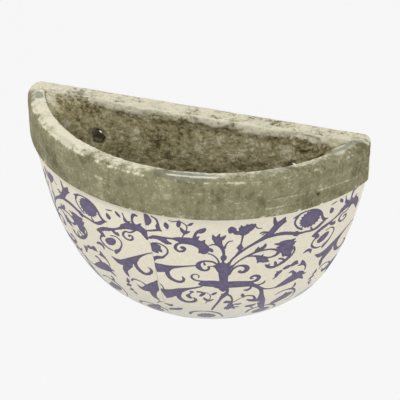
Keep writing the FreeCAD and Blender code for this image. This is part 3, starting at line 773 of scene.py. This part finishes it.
def inner_radius(z):
    """The bowl's inside radius at a height."""
    return np.where(z > BAND_FOOT_Z, INNER_RADIUS, np.interp(z, INSIDE[::-1, 1], INSIDE[::-1, 0]))


def seat_in_slab(points):
    """Moves what lies on the slab's face a little into the slab, round the pot's axis."""
    touching = np.abs(points[:, 1] - SLAB_FACE_Y) < 0.02
    radius = np.hypot(points[touching, 0], points[touching, 1] - AXIS_Y)
    new_y = SLAB_FACE_Y + SEAT_DEPTH
    new_x = np.sqrt(np.maximum(radius ** 2 - (AXIS_Y - new_y) ** 2, 0.0))
    points[touching, 0] = np.sign(points[touching, 0]) * new_x
    points[touching, 1] = new_y
    return points


def seat_in_bowl(points):
    """Moves what lies on the bowl's inside a little into the bowl's wall."""
    radius = np.hypot(points[:, 0], points[:, 1] - AXIS_Y)
    touching = radius > inner_radius(points[:, 2]) - 0.05
    depth = SEAT_DEPTH * (1 - 0.65 * smoothstep(-30, -55, points[touching, 2]))
    grow = (radius[touching] + depth) / radius[touching]
    points[touching, 0] *= grow
    points[touching, 1] = AXIS_Y + (points[touching, 1] - AXIS_Y) * grow
    points[touching, 2] -= 0.5 * SEAT_DEPTH * smoothstep(-60, -120, points[touching, 2])
    return points


def seat_under_band(points):
    """Moves the bowl's upper edge up inside the band."""
    touching = np.abs(points[:, 2] - LAP_Z) < 0.02
    points[touching, 2] += SEAT_DEPTH
    return points


def even_copy(name, node, voxel, *seats):
    """A closed copy of a node's solid with evenly spaced mesh points."""
    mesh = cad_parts[node].data.copy()
    points = mesh_points(mesh)
    for seat in seats:
        points = seat(points)
    mesh.vertices.foreach_set("co", (points * MM).astype(np.float32).ravel())
    mesh.update()
    rough = bpy.data.objects.new(name + "_rough", mesh)
    bpy.context.scene.collection.objects.link(rough)
    weld = rough.modifiers.new("weld", "WELD")
    weld.merge_threshold = 0.01 * MM
    even = rough.modifiers.new("even", "REMESH")
    even.mode, even.voxel_size = "VOXEL", voxel * MM
    bpy.context.view_layer.update()
    ready = rough.evaluated_get(bpy.context.evaluated_depsgraph_get())
    done = bpy.data.meshes.new_from_object(ready)
    done.name = name
    done.materials.clear()
    bpy.data.objects.remove(rough)
    piece = bpy.data.objects.new(name, done)
    bpy.context.scene.collection.objects.link(piece)
    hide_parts(node)
    return piece


def reshape(piece, change):
    points = in_box(change(mesh_points(piece.data)))
    piece.data.vertices.foreach_set("co", (points * MM).astype(np.float32).ravel())
    piece.data.update()


def work_clay(piece, finish):
    """Moves the mesh points along their normals and keeps the masks that the finish gives."""
    points, normals = mesh_points(piece.data), mesh_normals(piece.data)
    shift, masks = finish(points, normals)
    moved = in_box(points + normals * shift[:, None])
    piece.data.vertices.foreach_set("co", (moved * MM).astype(np.float32).ravel())
    piece.data.polygons.foreach_set("use_smooth", np.ones(len(piece.data.polygons), bool))
    piece.data.update()
    for name, values in masks.items():
        set_mask(piece, name, values)


def round_pot(points):
    """Angle round the pot's axis in degrees, 0 at the front, and radius."""
    return (np.degrees(np.arctan2(points[:, 0], AXIS_Y - points[:, 1])),
            np.hypot(points[:, 0], AXIS_Y - points[:, 1]))


def sandy_relief(points):
    """Height in mm of rough, hand-pressed clay, from about -1 to 1, before scaling."""
    lumps = fractal(points, 16, 11, 4, 0.55)
    crumbs, number = nearest_grain(points, 3.4, 23)
    grains = (1 - np.clip(crumbs / 1.7, 0, 1)) * (number > 0.25)
    pits, number = nearest_grain(points, 6.5, 31)
    holes = (1 - np.clip(pits / 1.9, 0, 1)) * (number > 0.35)
    tooled = np.abs(smooth_noise(points * (1.0, 1.0, 0.45), 5.0, 47))
    return lumps + 0.45 * grains - 0.8 * holes - 0.35 * tooled + 0.1


WALL_RIDGES = (               # height in mm, then (x, z, half width) along the slab's face
    (1.3, ((-84.6, 31.5, 0.5), (-82.4, 25, 0.7), (-80.2, 19, 0.6), (-78.6, 12, 0.4))),
    (0.9, ((-88.2, 26, 0.4), (-88.9, 17, 0.6), (-88.4, 7.5, 0.4))),
    (0.8, ((-85.2, 24, 0.4), (-84.5, 16, 0.5), (-83.4, 8, 0.3))),
    (0.7, ((-92, 20.5, 0.3), (-91.6, 14, 0.4), (-91.2, 7, 0.3))),
    (1.2, ((77.9, 33, 0.5), (78.6, 22, 0.6), (77.6, 10, 0.5))),
    (0.9, ((77.5, 23, 0.5), (81.5, 21.5, 0.6), (86, 19.8, 0.5), (91, 21.4, 0.4))),
    (1.4, ((87, 33.4, 0.5), (93, 33.0, 0.6), (98.5, 31.5, 0.7), (99.6, 26, 0.7), (99.2, 18, 0.6))),
    (0.8, ((86, 15.5, 0.4), (90, 12.5, 0.5), (93.5, 15, 0.4), (96, 11.5, 0.4))),
    (0.8, ((80.5, 30, 0.4), (84.5, 26.5, 0.5), (88, 29.5, 0.4), (92, 26, 0.4))),
    (0.7, ((102.5, 30, 0.4), (101.5, 24, 0.4), (104, 19, 0.4))),
)
WALL_GROOVES = (              # depth in mm, then (x, z, half width)
    (1.2, ((-86.4, 31, 0.5), (-85.8, 24, 0.6), (-82.6, 15, 0.4))),
    (1.0, ((48, 24, 0.6), (49.6, 14, 0.8), (51.5, 4, 0.4))),
    (0.8, ((96.5, 29, 0.5), (96.8, 22, 0.6), (95.6, 17, 0.4))),
    (0.7, ((-30, 27.5, 0.5), (-22, 28.2, 0.7), (-14, 29, 0.4))),
)


def traced(points, lines, reach):
    """The sum of drawn ridges over the slab's face."""
    total = np.zeros(len(points))
    for height, line in lines:
        path = smooth_path(np.array(line, float))
        near = ((points[:, 0] > path[:, 0].min() - 4) & (points[:, 0] < path[:, 0].max() + 4)
                & (points[:, 2] > path[:, 1].min() - 4) & (points[:, 2] < path[:, 1].max() + 4))
        away = distance_to_path(points[near, 0], points[near, 2], path)
        total[near] += height * (1 - smoothstep(0, reach, away))
    return total


def soften_lip(points):
    """Lets the slab's lip run out towards both corners and swell unevenly in between."""
    x, y, z = points.T
    proud = np.minimum(y - SLAB_FACE_Y, 0) * (z > TOP_Z - 15)
    end = np.abs(x[proud < -1]).max()
    uneven = 0.7 + 0.55 * fractal(np.column_stack([x, 0 * x, 0 * x]), 22, 43, 3)
    share = smoothstep(end, end - 30, np.abs(x)) * np.clip(uneven, 0.2, 1)
    points[:, 1] = y - proud * (1 - np.maximum(share, 0.03))
    return points


def ragged_holes(points):
    """Breaks the edges of the two hanging holes inside the pot."""
    x, y, z = points.T
    away = np.hypot(np.abs(x) - HOLE_HALF_SPACING, z)
    torn = fractal(points * (1, 0.2, 1), 7, 3, 3) * smoothstep(11, 5, away) * smoothstep(-5, -11, y)
    middle = np.sign(x) * HOLE_HALF_SPACING
    points[:, 0] = middle + (x - middle) * (1 + 0.75 * torn)
    points[:, 2] = z * (1 + 0.75 * torn)
    return points


def raise_corner(points):
    """Fills the upper corner a little further up and outwards."""
    gap = np.maximum(TOP_Z - 1 - points[:, 2], 0)
    points[:, 2] += 0.5 * gap * smoothstep(TOP_Z - 42, TOP_Z - 6, points[:, 2])
    return points


def back_wall_finish(points, normals):
    x, y, z = points.T
    relief = sandy_relief(points)
    patchy = fractal(points * (0.7, 1, 1), 11, 91, 5, 0.6)
    flecks = fractal(points, 3.2, 59, 3, 0.6)
    _, radius = round_pot(points)
    in_pot = smoothstep(0.35, 0.8, -normals[:, 1]) * (y < SLAB_FACE_Y + 3)
    in_pot = in_pot * (radius < inner_radius(z) + 0.5)
    on_top = smoothstep(0.5, 0.9, normals[:, 2]) * (z > TOP_Z - 8)
    pressed = fractal(points, 34, 19, 4, 0.6)
    along, across = 0.9 * x + 0.44 * z, 0.9 * z - 0.44 * x
    scraped = fractal(np.column_stack([0.16 * along, 0 * y, across]), 5, 27, 4, 0.65)
    shift = -0.5 + 0.45 * relief + 0.2 * patchy
    shift = np.where(in_pot > 0, (1 - in_pot) * shift + in_pot * (
        0.8 * relief + 1.1 * pressed + 0.9 * scraped - 0.1), shift)
    shift += in_pot * (traced(points, WALL_RIDGES, 1.3) - traced(points, WALL_GROOVES, 1.4))
    ragged = np.hypot(np.abs(x) - HOLE_HALF_SPACING, (z + 1.5) / 1.3) + 3.0 * fractal(points, 8, 5, 4)
    shift += in_pot * 0.5 * np.exp(-((ragged - 9.0) / 1.6) ** 2)
    shift -= in_pot * 2.6 * (1 - smoothstep(3.0, 7.0, ragged))
    shift -= on_top * 0.7 * smoothstep(0.1, 0.5, patchy)
    ledge = smoothstep(0.2, 0.7, -normals[:, 1]) * (y < SLAB_FACE_Y - 0.4) * (z > TOP_Z - 13)
    shift = np.where(in_pot + ledge > 0, shift, np.minimum(shift, -0.02))
    outer_edge = smoothstep(-8, -2, y + 5 * patchy)
    near_rim = smoothstep(TOP_Z - 11, TOP_Z - 1.5, z + 5 * patchy)
    sunny = smoothstep(-20, 110, x) * smoothstep(-8, 26, z)
    outside = (z < BAND_FOOT_Z - 0.3) & (normals[:, 1] < 0.75) & (radius > inner_radius(z) + 1)
    masks = {
        "relief": relief + in_pot * 0.9 * scraped,
        # worn: pale wash and wear, plus painted light making the inside paler towards its right, upper side
        "worn": np.clip(on_top * (0.80 + 0.9 * patchy + 0.5 * flecks) + (in_pot + ledge > 0) * (
            0.85 * near_rim + 0.3 * sunny + 0.3 * patchy), 0, 1),
        "smear": on_top * smoothstep(0.05, 0.3, fractal(points * (0.5, 1, 1), 9, 97, 3)) * (
            0.25 + 0.75 * outer_edge) * (0.85 - 0.3 * smoothstep(0, 90, x)),
        # depth: painted shade, darker deeper down inside the pot, with some dirt
        "depth": in_pot * smoothstep(TOP_Z - 6, TOP_Z - 80, z),
        # Painted shade: the ragged hanging holes are darkened
        "hollow_shade": (y < -1.5) * (z < 20) * (1 - smoothstep(3.6, 6.8, ragged)) * 0.9,
        "glazed": outside.astype(float),
    }
    return shift, masks


BAND_SCRATCHES = (            # depth in mm, then (mm round the rim, z, half width)
    (0.35, ((82, 14.5, 0.15), (100, 14.9, 0.2), (120, 14.2, 0.25), (143, 13, 0.2), (160, 11.3, 0.15))),
    (0.30, ((76, 7.4, 0.15), (92, 7.7, 0.2), (108, 8.2, 0.15))),
    (0.25, ((-60, 20, 0.15), (-40, 19.2, 0.2), (-18, 20.1, 0.15))),
    (0.25, ((20, 22, 0.1), (38, 23.2, 0.2), (55, 22.4, 0.1))),
)


def rim_band_finish(points, normals):
    x, y, z = points.T
    angle, radius = round_pot(points)
    out = (normals[:, 0] * x + normals[:, 1] * (y - AXIS_Y)) / radius
    face = smoothstep(0.3, 0.75, out)
    in_pot = smoothstep(0.3, 0.75, -out)
    on_top = smoothstep(0.45, 0.85, normals[:, 2]) * (z > TOP_Z - 7)
    relief = sandy_relief(points)
    along = np.column_stack([RIM_RADIUS * np.radians(angle), 0 * z, z])
    calm = fractal(along, 34, 13, 3) + 0.5 * fractal(along * (1, 1, 0.35), 5, 17, 3)
    patchy = fractal(points, 13, 53, 5, 0.62)
    flecks = fractal(points, 3.0, 59, 3, 0.6)
    shift = -0.45 + 0.35 * relief + 0.15 * flecks
    shift = np.where(face > 0, (1 - face) * shift + face * (-0.45 + 0.35 * calm + 0.12 * relief), shift)
    shift = np.where(in_pot > 0, (1 - in_pot) * shift + in_pot * 0.8 * (relief - 0.2), shift)
    scratch = np.zeros(len(points))
    for depth, line in BAND_SCRATCHES:
        away = distance_to_path(along[:, 0], z, smooth_path(np.array(line, float), 2.0))
        scratch = np.maximum(scratch, depth * (1 - smoothstep(0.0, 0.9, away)))
    shift -= face * scratch
    pit = np.hypot(along[:, 0] - 124.8, z - 10.4)
    shift -= face * 1.6 * (1 - smoothstep(0.8, 2.2, pit))
    inner_edge = smoothstep(9, 3, radius - INNER_RADIUS) * on_top
    wave = fractal(np.column_stack([angle * 2.2, 0 * z, 0 * z]), 22, 29, 3)
    shift += inner_edge * np.minimum(0.6 * wave - 0.35, 0)
    bite = smoothstep(0.22, 0.55, fractal(points, 7, 37, 3))
    low = 1 - smoothstep(1.0, 3.2, z - BAND_FOOT_Z)
    shift -= low * face * 0.7 * bite
    shoulder = smoothstep(0.25, 0.6, out) * smoothstep(0.2, 0.5, normals[:, 2])
    shift -= shoulder * 0.55 * bite
    shift = np.where(in_pot > 0.5, shift, np.minimum(shift, -0.02))
    share = (RIM_RADIUS - radius) / (RIM_RADIUS - INNER_RADIUS)
    left = smoothstep(4, -30, angle)
    edge = 0.5 - 0.36 * left
    worn = smoothstep(edge - 0.42, edge + 0.38, share + 0.42 * patchy + 0.25 * flecks)
    worn = worn * (0.62 + 0.2 * left)
    inner_line = smoothstep(0.78, 0.97, share) * (0.75 + 0.8 * flecks)
    # A painted highlight: a broken pale line along the rim's rounded outer edge
    painted_edge_highlight = np.exp(-((share - 0.14) / 0.06) ** 2) * smoothstep(-0.25, 0.35, patchy + 0.5 * flecks)
    # A painted highlight: a pale glossy-looking streak near the inner edge at the front of the rim
    painted_wet_highlight = np.exp(-((share - 0.45) / 0.08) ** 2) * smoothstep(1, 4, angle) * smoothstep(20, 16, angle)
    chips = sum(np.exp(-(((angle - at) * 2.42) ** 2 + (z - BAND_FOOT_Z - 1.0) ** 2) / wide ** 2)
                for at, wide in ((31.8, 1.5), (43.4, 1.8), (51.4, 1.3), (-8.0, 1.0), (2.5, 1.2)))
    masks = {
        "relief": relief * (1 - 0.5 * face),
        # worn: real wear, chips and scratches, plus the painted highlights along the outer edge and at the
        # front
        "worn": np.clip(on_top * np.maximum(worn, inner_line) + 0.6 * painted_edge_highlight * (out > 0)
                        + painted_wet_highlight + chips + face * (1.3 * scratch + 0.3 * smoothstep(0.25, 0.5, flecks)), 0, 1),
        "smear": np.maximum(on_top, 0.6 * shoulder) * band_smears(angle, radius, patchy) * (1 - painted_wet_highlight),
        # depth: painted shade, darker deeper down inside the band, with some dirt
        "depth": in_pot * smoothstep(TOP_Z - 4, TOP_Z - 60, z),
        # Painted shade: the pit and the bites along the band's foot are darkened
        "hollow_shade": face * np.maximum(1 - smoothstep(0.8, 2.0, pit), 0.4 * bite * (
            1 - smoothstep(0.5, 2.5, z - BAND_FOOT_Z))),
    }
    return shift, masks


def band_smears(angle, radius, patchy):
    """Blue-grey slip on the rim's top: at the front round the painted highlight, near both ends and in small
    patches.
    """
    total = 0.0
    for at, wide, at_radius, deep, strength in (
            (9.5, 11, 136, 5.0, 0.95), (62.5, 6.0, 131.2, 3.6, 1.0), (-65.5, 2.6, 134.5, 4.0, 0.9),
            (70, 1.8, 133, 4.5, 0.9), (38, 5, 133, 3.0, 0.5), (-35, 5, 139, 2.5, 0.35)):
        away = np.hypot((angle - at) / wide, (radius - at_radius) / deep)
        total = np.maximum(total, strength * (1 - smoothstep(0.6, 1.15, away + 0.5 * patchy)))
    return total


def bowl_shell_finish(points, normals):
    relief = sandy_relief(points)
    _, radius = round_pot(points)
    out = (normals[:, 0] * points[:, 0] + normals[:, 1] * (points[:, 1] - AXIS_Y)) / radius
    outside = (radius > inner_radius(points[:, 2]) + 0.4 * BOWL_WALL) & (
        (out > 0) | (normals[:, 2] < -0.3))
    shift = np.where(outside, -0.05 + 0.05 * np.clip(relief, -1, 1), 0.55 * (relief - 0.2))
    masks = {
        "relief": np.where(outside, 0.3 * relief, relief),
        "glazed": outside.astype(float),
        # depth: painted shade, darker deeper down inside the bowl, with some dirt
        "depth": np.where(outside, 0, smoothstep(TOP_Z - 10, TOP_Z - 110, points[:, 2])),
    }
    return shift, masks


def joint_clay_finish(points, normals):
    relief = sandy_relief(points) + 0.4 * np.abs(smooth_noise(points, 6.0, 3))
    patchy = fractal(points, 9, 91, 4)
    _, radius = round_pot(points)
    shift = 0.8 * relief * (radius < inner_radius(points[:, 2]) - 0.3)
    masks = {
        "relief": relief,
        "worn": smoothstep(TOP_Z - 12, TOP_Z - 2.5, points[:, 2] + 6 * patchy) * 0.8,
        # depth: painted shade, darker deeper down in the corners, with some dirt
        "depth": smoothstep(TOP_Z - 8, TOP_Z - 70, points[:, 2]),
    }
    return shift, masks


# ---------------------------------------------------------------- materials

def linear(red, green, blue):
    """A screen colour from 0 to 255 as the shader's linear colour."""
    out = []
    for value in (red, green, blue):
        v = value / 255
        out.append(v / 12.92 if v <= 0.04045 else ((v + 0.055) / 1.055) ** 2.4)
    return (*out, 1.0)


class Shader:
    """Short calls for a node material; positions are in mm."""

    def __init__(self, name, **surface):
        self.material = bpy.data.materials.new(name)
        self.material.use_nodes = True
        self.tree = self.material.node_tree
        self.surface = self.tree.nodes["Principled BSDF"]
        for socket, value in surface.items():
            self.surface.inputs[socket.replace("_", " ")].default_value = value
        self.position = self.vector("SCALE", self.add("ShaderNodeTexCoord").outputs["Object"],
                                    scale=1 / MM)

    def add(self, kind, **settings):
        node = self.tree.nodes.new(kind)
        for name, value in settings.items():
            setattr(node, name, value)
        return node

    def put(self, value, socket):
        if isinstance(value, bpy.types.NodeSocket):
            self.tree.links.new(value, socket)
        else:
            socket.default_value = value

    def math(self, operation, a, b=0.0):
        node = self.add("ShaderNodeMath", operation=operation)
        self.put(a, node.inputs[0])
        self.put(b, node.inputs[1])
        return node.outputs[0]

    def vector(self, operation, a, b=None, scale=None):
        node = self.add("ShaderNodeVectorMath", operation=operation)
        self.put(a, node.inputs[0])
        if b is not None:
            self.put(b, node.inputs[1])
        if scale is not None:
            node.inputs["Scale"].default_value = scale
        return node.outputs[0]

    def noise(self, size, detail=3.0, stretch=(1, 1, 1), roughness=0.5):
        """Fractal noise from 0 to 1, about `size` mm across, squeezed by `stretch`."""
        node = self.add("ShaderNodeTexNoise")
        self.put(self.vector("MULTIPLY", self.position, stretch), node.inputs["Vector"])
        node.inputs["Scale"].default_value = 1 / size
        node.inputs["Detail"].default_value = detail
        node.inputs["Roughness"].default_value = roughness
        return node.outputs[0]

    def cracks(self, size):
        """Distance to the nearest wall of a net of cells, in cells."""
        node = self.add("ShaderNodeTexVoronoi", feature="DISTANCE_TO_EDGE")
        bend = self.vector("SCALE", self.vector("SUBTRACT", self.add_colour_noise(size * 0.6),
                                                (0.5, 0.5, 0.5)), scale=size * 0.5)
        self.put(self.vector("ADD", self.position, bend), node.inputs["Vector"])
        node.inputs["Scale"].default_value = 1 / size
        return node.outputs["Distance"]

    def add_colour_noise(self, size):
        node = self.add("ShaderNodeTexNoise")
        self.put(self.position, node.inputs["Vector"])
        node.inputs["Scale"].default_value = 1 / size
        return node.outputs["Color"]

    def mask(self, name):
        return self.add("ShaderNodeAttribute", attribute_name=name).outputs["Fac"]

    def between(self, value, low, high):
        """0 below low, 1 above high, smooth between."""
        node = self.add("ShaderNodeMapRange", interpolation_type="SMOOTHSTEP")
        self.put(value, node.inputs["Value"])
        node.inputs["From Min"].default_value = low
        node.inputs["From Max"].default_value = high
        return node.outputs["Result"]

    def blend(self, share, a, b):
        """Colour a at share 0 and colour b at share 1."""
        node = self.add("ShaderNodeMix", data_type="RGBA")
        self.put(share, node.inputs["Factor"])
        self.put(a, node.inputs[6])
        self.put(b, node.inputs[7])
        return node.outputs[2]

    def tone(self, colour, share, low, high):
        """The colour made darker or lighter, from low at share 0 to high at share 1."""
        level = self.add("ShaderNodeMapRange")
        self.put(share, level.inputs["Value"])
        level.inputs["To Min"].default_value = low
        level.inputs["To Max"].default_value = high
        node = self.add("ShaderNodeVectorMath", operation="SCALE")
        self.put(colour if isinstance(colour, bpy.types.NodeSocket) else colour[:3], node.inputs[0])
        self.put(level.outputs["Result"], node.inputs["Scale"])
        return node.outputs[0]

    def bump(self, height, distance):
        node = self.add("ShaderNodeBump")
        node.inputs["Strength"].default_value = 1.0
        node.inputs["Distance"].default_value = distance * MM
        self.put(height, node.inputs["Height"])
        self.put(node.outputs[0], self.surface.inputs["Normal"])

    def finish(self, colour, roughness):
        self.put(colour, self.surface.inputs["Base Color"])
        self.put(roughness, self.surface.inputs["Roughness"])
        return self.material


SANDY_DARK = linear(98, 89, 58)
SANDY_MID = linear(170, 161, 122)
SANDY_PALE = linear(220, 214, 184)
# Pale wash, also the colour of painted highlights and painted light
WASH_AND_PAINTED_LIGHT = linear(222, 216, 192)
SLIP_GREY = linear(128, 132, 118)
BAND_DARK = linear(104, 100, 73)
BAND_MID = linear(137, 133, 103)
BAND_PALE = linear(178, 173, 142)
PAINTED_HOLE_SHADE = linear(66, 59, 42)
# Painted shade for holes, pits and bites
GLAZE_CREAM = linear(229, 222, 201)
GLAZE_GREY = linear(204, 202, 192)
INK_EDGE = linear(70, 57, 95)
INK_BODY = linear(90, 76, 117)
INK_GREY = linear(124, 119, 125)


def clay_material(name, dark, mid, pale, streaks, rough_grain, glazed=False):
    """Rough unglazed clay with a pale wash caught on its high points and worn edges, and with the painted
    highlights, painted light and painted shade that the masks bring.
    """
    s = Shader(name, Specular_IOR_Level=0.25)
    fine = s.noise(2.6, 5, roughness=0.75)
    middle = s.noise(6, 6, roughness=0.7)
    brushed = s.noise(2.6, 4, stretch=(1, 1, 0.1), roughness=0.6)
    grain = s.math("MULTIPLY", s.mask("relief"), 0.25 * rough_grain)
    for noise, weight in ((fine, 1.5 * rough_grain), (middle, 0.8 * rough_grain),
                          (s.noise(24, 7, roughness=0.68), 1.75), (brushed, streaks)):
        grain = s.math("ADD", grain, s.math("MULTIPLY", s.math("SUBTRACT", noise, 0.5), weight))
    colour = s.blend(s.between(grain, -0.42, 0.06), dark, mid)
    colour = s.blend(s.between(grain, 0.04, 0.5), colour, pale)
    specks = s.math("MULTIPLY", s.between(s.noise(2.0, 3, roughness=0.6), 0.58, 0.64),
                    s.between(middle, 0.42, 0.6))
    colour = s.blend(s.math("MULTIPLY", specks, 0.7 * rough_grain), colour, WASH_AND_PAINTED_LIGHT)
    pits = s.between(s.math("SUBTRACT", 1.0, s.noise(2.8, 4, roughness=0.7)), 0.58, 0.68)
    colour = s.blend(s.math("MULTIPLY", pits, 0.65 * rough_grain), colour, dark)
    worn = s.mask("worn")
    # Pale wash on worn parts, with the painted highlights and painted light that the worn mask brings
    pale_wash_and_light = s.between(s.math("ADD", worn, s.math("MULTIPLY", grain, 0.9)), 0.15, 0.95)
    pale_wash_and_light = s.math("MULTIPLY", pale_wash_and_light, s.between(worn, 0.0, 0.25))
    colour = s.blend(pale_wash_and_light, colour, s.tone(WASH_AND_PAINTED_LIGHT, fine, 0.8, 1.18))
    colour = s.blend(s.math("MULTIPLY", s.mask("smear"), 0.85), colour,
                     s.tone(SLIP_GREY, middle, 0.7, 1.3))
    # Painted shade with some dirt: the depth mask darkens the clay deeper inside the pot
    colour = s.tone(colour, s.mask("depth"), 1.0, 0.86)
    # Painted shade in the hanging holes, the pit and the bites under the band
    colour = s.blend(s.math("MULTIPLY", s.mask("hollow_shade"), 0.85), colour, PAINTED_HOLE_SHADE)
    rough = s.math("SUBTRACT", 0.88, s.math("MULTIPLY", s.mask("smear"), 0.5))
    if glazed:
        cream, *_ = glaze_colour(s)
        colour = s.blend(s.mask("glazed"), colour, cream)
        rough = s.math("SUBTRACT", rough, s.math("MULTIPLY", s.mask("glazed"), 0.42))
    height = s.math("ADD", s.math("MULTIPLY", fine, 0.8), middle)
    s.bump(height, 1.4 * rough_grain)
    return s.finish(colour, rough)


def glaze_colour(s):
    """Cream crackle glaze, greyer towards the pot's foot; also its net of cracks."""
    broad = s.noise(42, 3)
    fine = s.noise(1.8, 4, roughness=0.6)
    colour = s.tone(GLAZE_CREAM, broad, 0.965, 1.035)
    height = s.add("ShaderNodeSeparateXYZ")
    s.put(s.position, height.inputs[0])
    low = s.between(s.math("MULTIPLY", height.outputs["Z"], -1.0), 78, 135)
    colour = s.blend(low, colour, GLAZE_GREY)
    net = s.math("MINIMUM", s.cracks(5.5), s.math("MULTIPLY", s.cracks(14), 1.6))
    crack = s.math("SUBTRACT", 1.0, s.between(net, 0.0, 0.05))
    colour = s.tone(colour, crack, 1.0, 0.93)
    colour = s.tone(colour, fine, 0.975, 1.02)
    return colour, crack, fine, low


def sheet_material():
    s = Shader("printed_glaze", Specular_IOR_Level=0.45)
    colour, crack, fine, low = glaze_colour(s)
    fray = s.math("MULTIPLY", s.math("SUBTRACT", s.noise(0.9, 2), 0.5), 0.35)
    away = s.math("ADD", s.mask("ink"), fray)
    inked = s.math("SUBTRACT", 1.0, s.between(away, -0.16, 0.16))
    body = s.between(s.math("MULTIPLY", away, -1.0), 0.5, 1.9)
    body = s.math("MULTIPLY", body, s.between(s.noise(3.5, 3), 0.35, 0.62))
    ink = s.blend(body, INK_EDGE, INK_BODY)
    ink = s.tone(ink, s.noise(6, 4), 0.86, 1.14)
    ink = s.blend(s.math("MULTIPLY", low, 0.75), ink, INK_GREY)
    worn = s.between(s.noise(2.2, 4, roughness=0.7), 0.66, 0.78)
    inked = s.math("MULTIPLY", inked, s.math("SUBTRACT", 0.96, s.math("MULTIPLY", worn, 0.35)))
    colour = s.blend(inked, colour, ink)
    s.bump(s.math("SUBTRACT", s.math("MULTIPLY", fine, 0.3), crack), 0.08)
    return s.finish(colour, s.math("ADD", 0.42, s.math("MULTIPLY", fine, 0.12)))


def bowl_material():
    """Cream glaze outside, sandy clay inside, by the bowl's own mask."""
    s = Shader("bowl_glaze", Specular_IOR_Level=0.35)
    colour, crack, fine, _ = glaze_colour(s)
    grain = s.math("ADD", s.math("MULTIPLY", s.mask("relief"), 0.5), s.noise(3, 5, roughness=0.65))
    sand = s.blend(s.between(grain, 0.1, 0.7), SANDY_DARK, SANDY_MID)
    sand = s.blend(s.between(grain, 0.7, 1.2), sand, SANDY_PALE)
    # Painted shade with some dirt: the depth mask darkens the sand deeper inside the bowl
    sand = s.tone(sand, s.mask("depth"), 1.0, 0.74)
    glazed = s.mask("glazed")
    colour = s.blend(glazed, sand, colour)
    s.bump(s.math("ADD", fine, s.math("MULTIPLY", grain, 0.5)), 0.3)
    return s.finish(colour, s.math("SUBTRACT", 0.88, s.math("MULTIPLY", glazed, 0.42)))


# ---------------------------------------------------------------- the pieces

# Mesh spacing of each worked piece, in mm
WALL_VOXEL = 1.05
BAND_VOXEL = 0.85
BOWL_VOXEL = 1.3
JOINT_VOXEL = 0.8


def dress(piece, material):
    piece.data.materials.append(material)
    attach(piece, "root")


def add_pieces():
    band_clay = clay_material("band_clay", BAND_DARK, BAND_MID, BAND_PALE, 0.55, 0.55)
    sandy_clay = clay_material("sandy_clay", SANDY_DARK, SANDY_MID, SANDY_PALE, 0.1, 1.0)
    slab_clay = clay_material("slab_clay", SANDY_DARK, SANDY_MID, SANDY_PALE, 0.1, 1.0, glazed=True)
    wall = even_copy("back_wall_clay", "back_wall", WALL_VOXEL)
    reshape(wall, soften_lip)
    reshape(wall, ragged_holes)
    work_clay(wall, back_wall_finish)
    dress(wall, slab_clay)
    band = even_copy("rim_band_clay", "rim_band", BAND_VOXEL, seat_in_slab)
    work_clay(band, rim_band_finish)
    dress(band, band_clay)
    bowl = even_copy("bowl_shell_clay", "bowl_shell", BOWL_VOXEL, seat_in_slab, seat_under_band)
    work_clay(bowl, bowl_shell_finish)
    dress(bowl, bowl_material())
    for node in ("corner_clay_left", "corner_clay_right", "floor_coil"):
        piece = even_copy(node + "_smear", node, JOINT_VOXEL, seat_in_bowl, seat_in_slab)
        if node != "floor_coil":
            reshape(piece, raise_corner)
        work_clay(piece, joint_clay_finish)
        dress(piece, sandy_clay)
    printed = sheet_material()
    for side, node in ((-1, "print_sheet_left"), (1, "print_sheet_right")):
        dress(add_sheet(node + "_glaze", node, side), printed)


# ---------------------------------------------------------------- studio

# The studio is in metres, as Blender is
FLOOR_Z = -0.62
FLOOR_FRONT_Y = -2.4
BEND_Y = 0.6                 # where the floor starts to curve up
BACKDROP_Y = 1.6
BACKDROP_TOP_Z = 2.4
FLOOR_HALF_WIDTH = 3.0
PAPER = linear(246, 246, 246)
PAPER_BODY = linear(90, 90, 90)
PAPER_GLOW = 0.905
SKY_STRENGTH = 0.62


def add_studio():
    """A pale floor that curves up into a backdrop, far enough away to take no clear shadow."""
    curve = [(FLOOR_FRONT_Y, FLOOR_Z), (BEND_Y, FLOOR_Z)]
    bend = BACKDROP_Y - BEND_Y
    curve += [(BEND_Y + bend * math.sin(a), FLOOR_Z + bend * (1 - math.cos(a)))
              for a in np.linspace(0, math.pi / 2, 13)[1:]]
    curve.append((BACKDROP_Y, BACKDROP_TOP_Z))
    sides = (-FLOOR_HALF_WIDTH, FLOOR_HALF_WIDTH)
    points = np.array([(x, y, z) for y, z in curve for x in sides]) / MM
    steps = np.arange(len(curve) - 1) * 2
    floor = add_mesh("floor", points, np.stack([steps, steps + 1, steps + 3, steps + 2], 1))
    paper = Shader("paper", Base_Color=PAPER_BODY, Roughness=1.0, Specular_IOR_Level=0.0,
                   Emission_Color=PAPER, Emission_Strength=PAPER_GLOW)
    floor.data.materials.append(paper.material)


def add_light(name, place, aim, size, power):
    data = bpy.data.lights.new(name, "AREA")
    data.shape, data.size, data.energy = "DISK", size, power
    light = bpy.data.objects.new(name, data)
    light.location = place
    way = Vector(aim) - Vector(place)
    light.rotation_mode = "QUATERNION"
    light.rotation_quaternion = way.to_track_quat("-Z", "Y")
    bpy.context.scene.collection.objects.link(light)


def light_studio():
    world = bpy.data.worlds.new("studio")
    bpy.context.scene.world = world
    world.use_nodes = True
    sky = world.node_tree.nodes["Background"].inputs
    sky["Color"].default_value = (1.0, 1.0, 1.0, 1.0)
    sky["Strength"].default_value = SKY_STRENGTH
    add_light("key", (-0.55, -0.9, 1.45), (0, -0.05, 0), 0.7, 15.0)
    add_light("fill", (1.2, -1.1, 0.5), (0, -0.05, -0.05), 0.9, 5.5)
    bpy.context.scene.view_settings.view_transform = "Standard"


add_camera()
add_pieces()
add_studio()
light_studio()
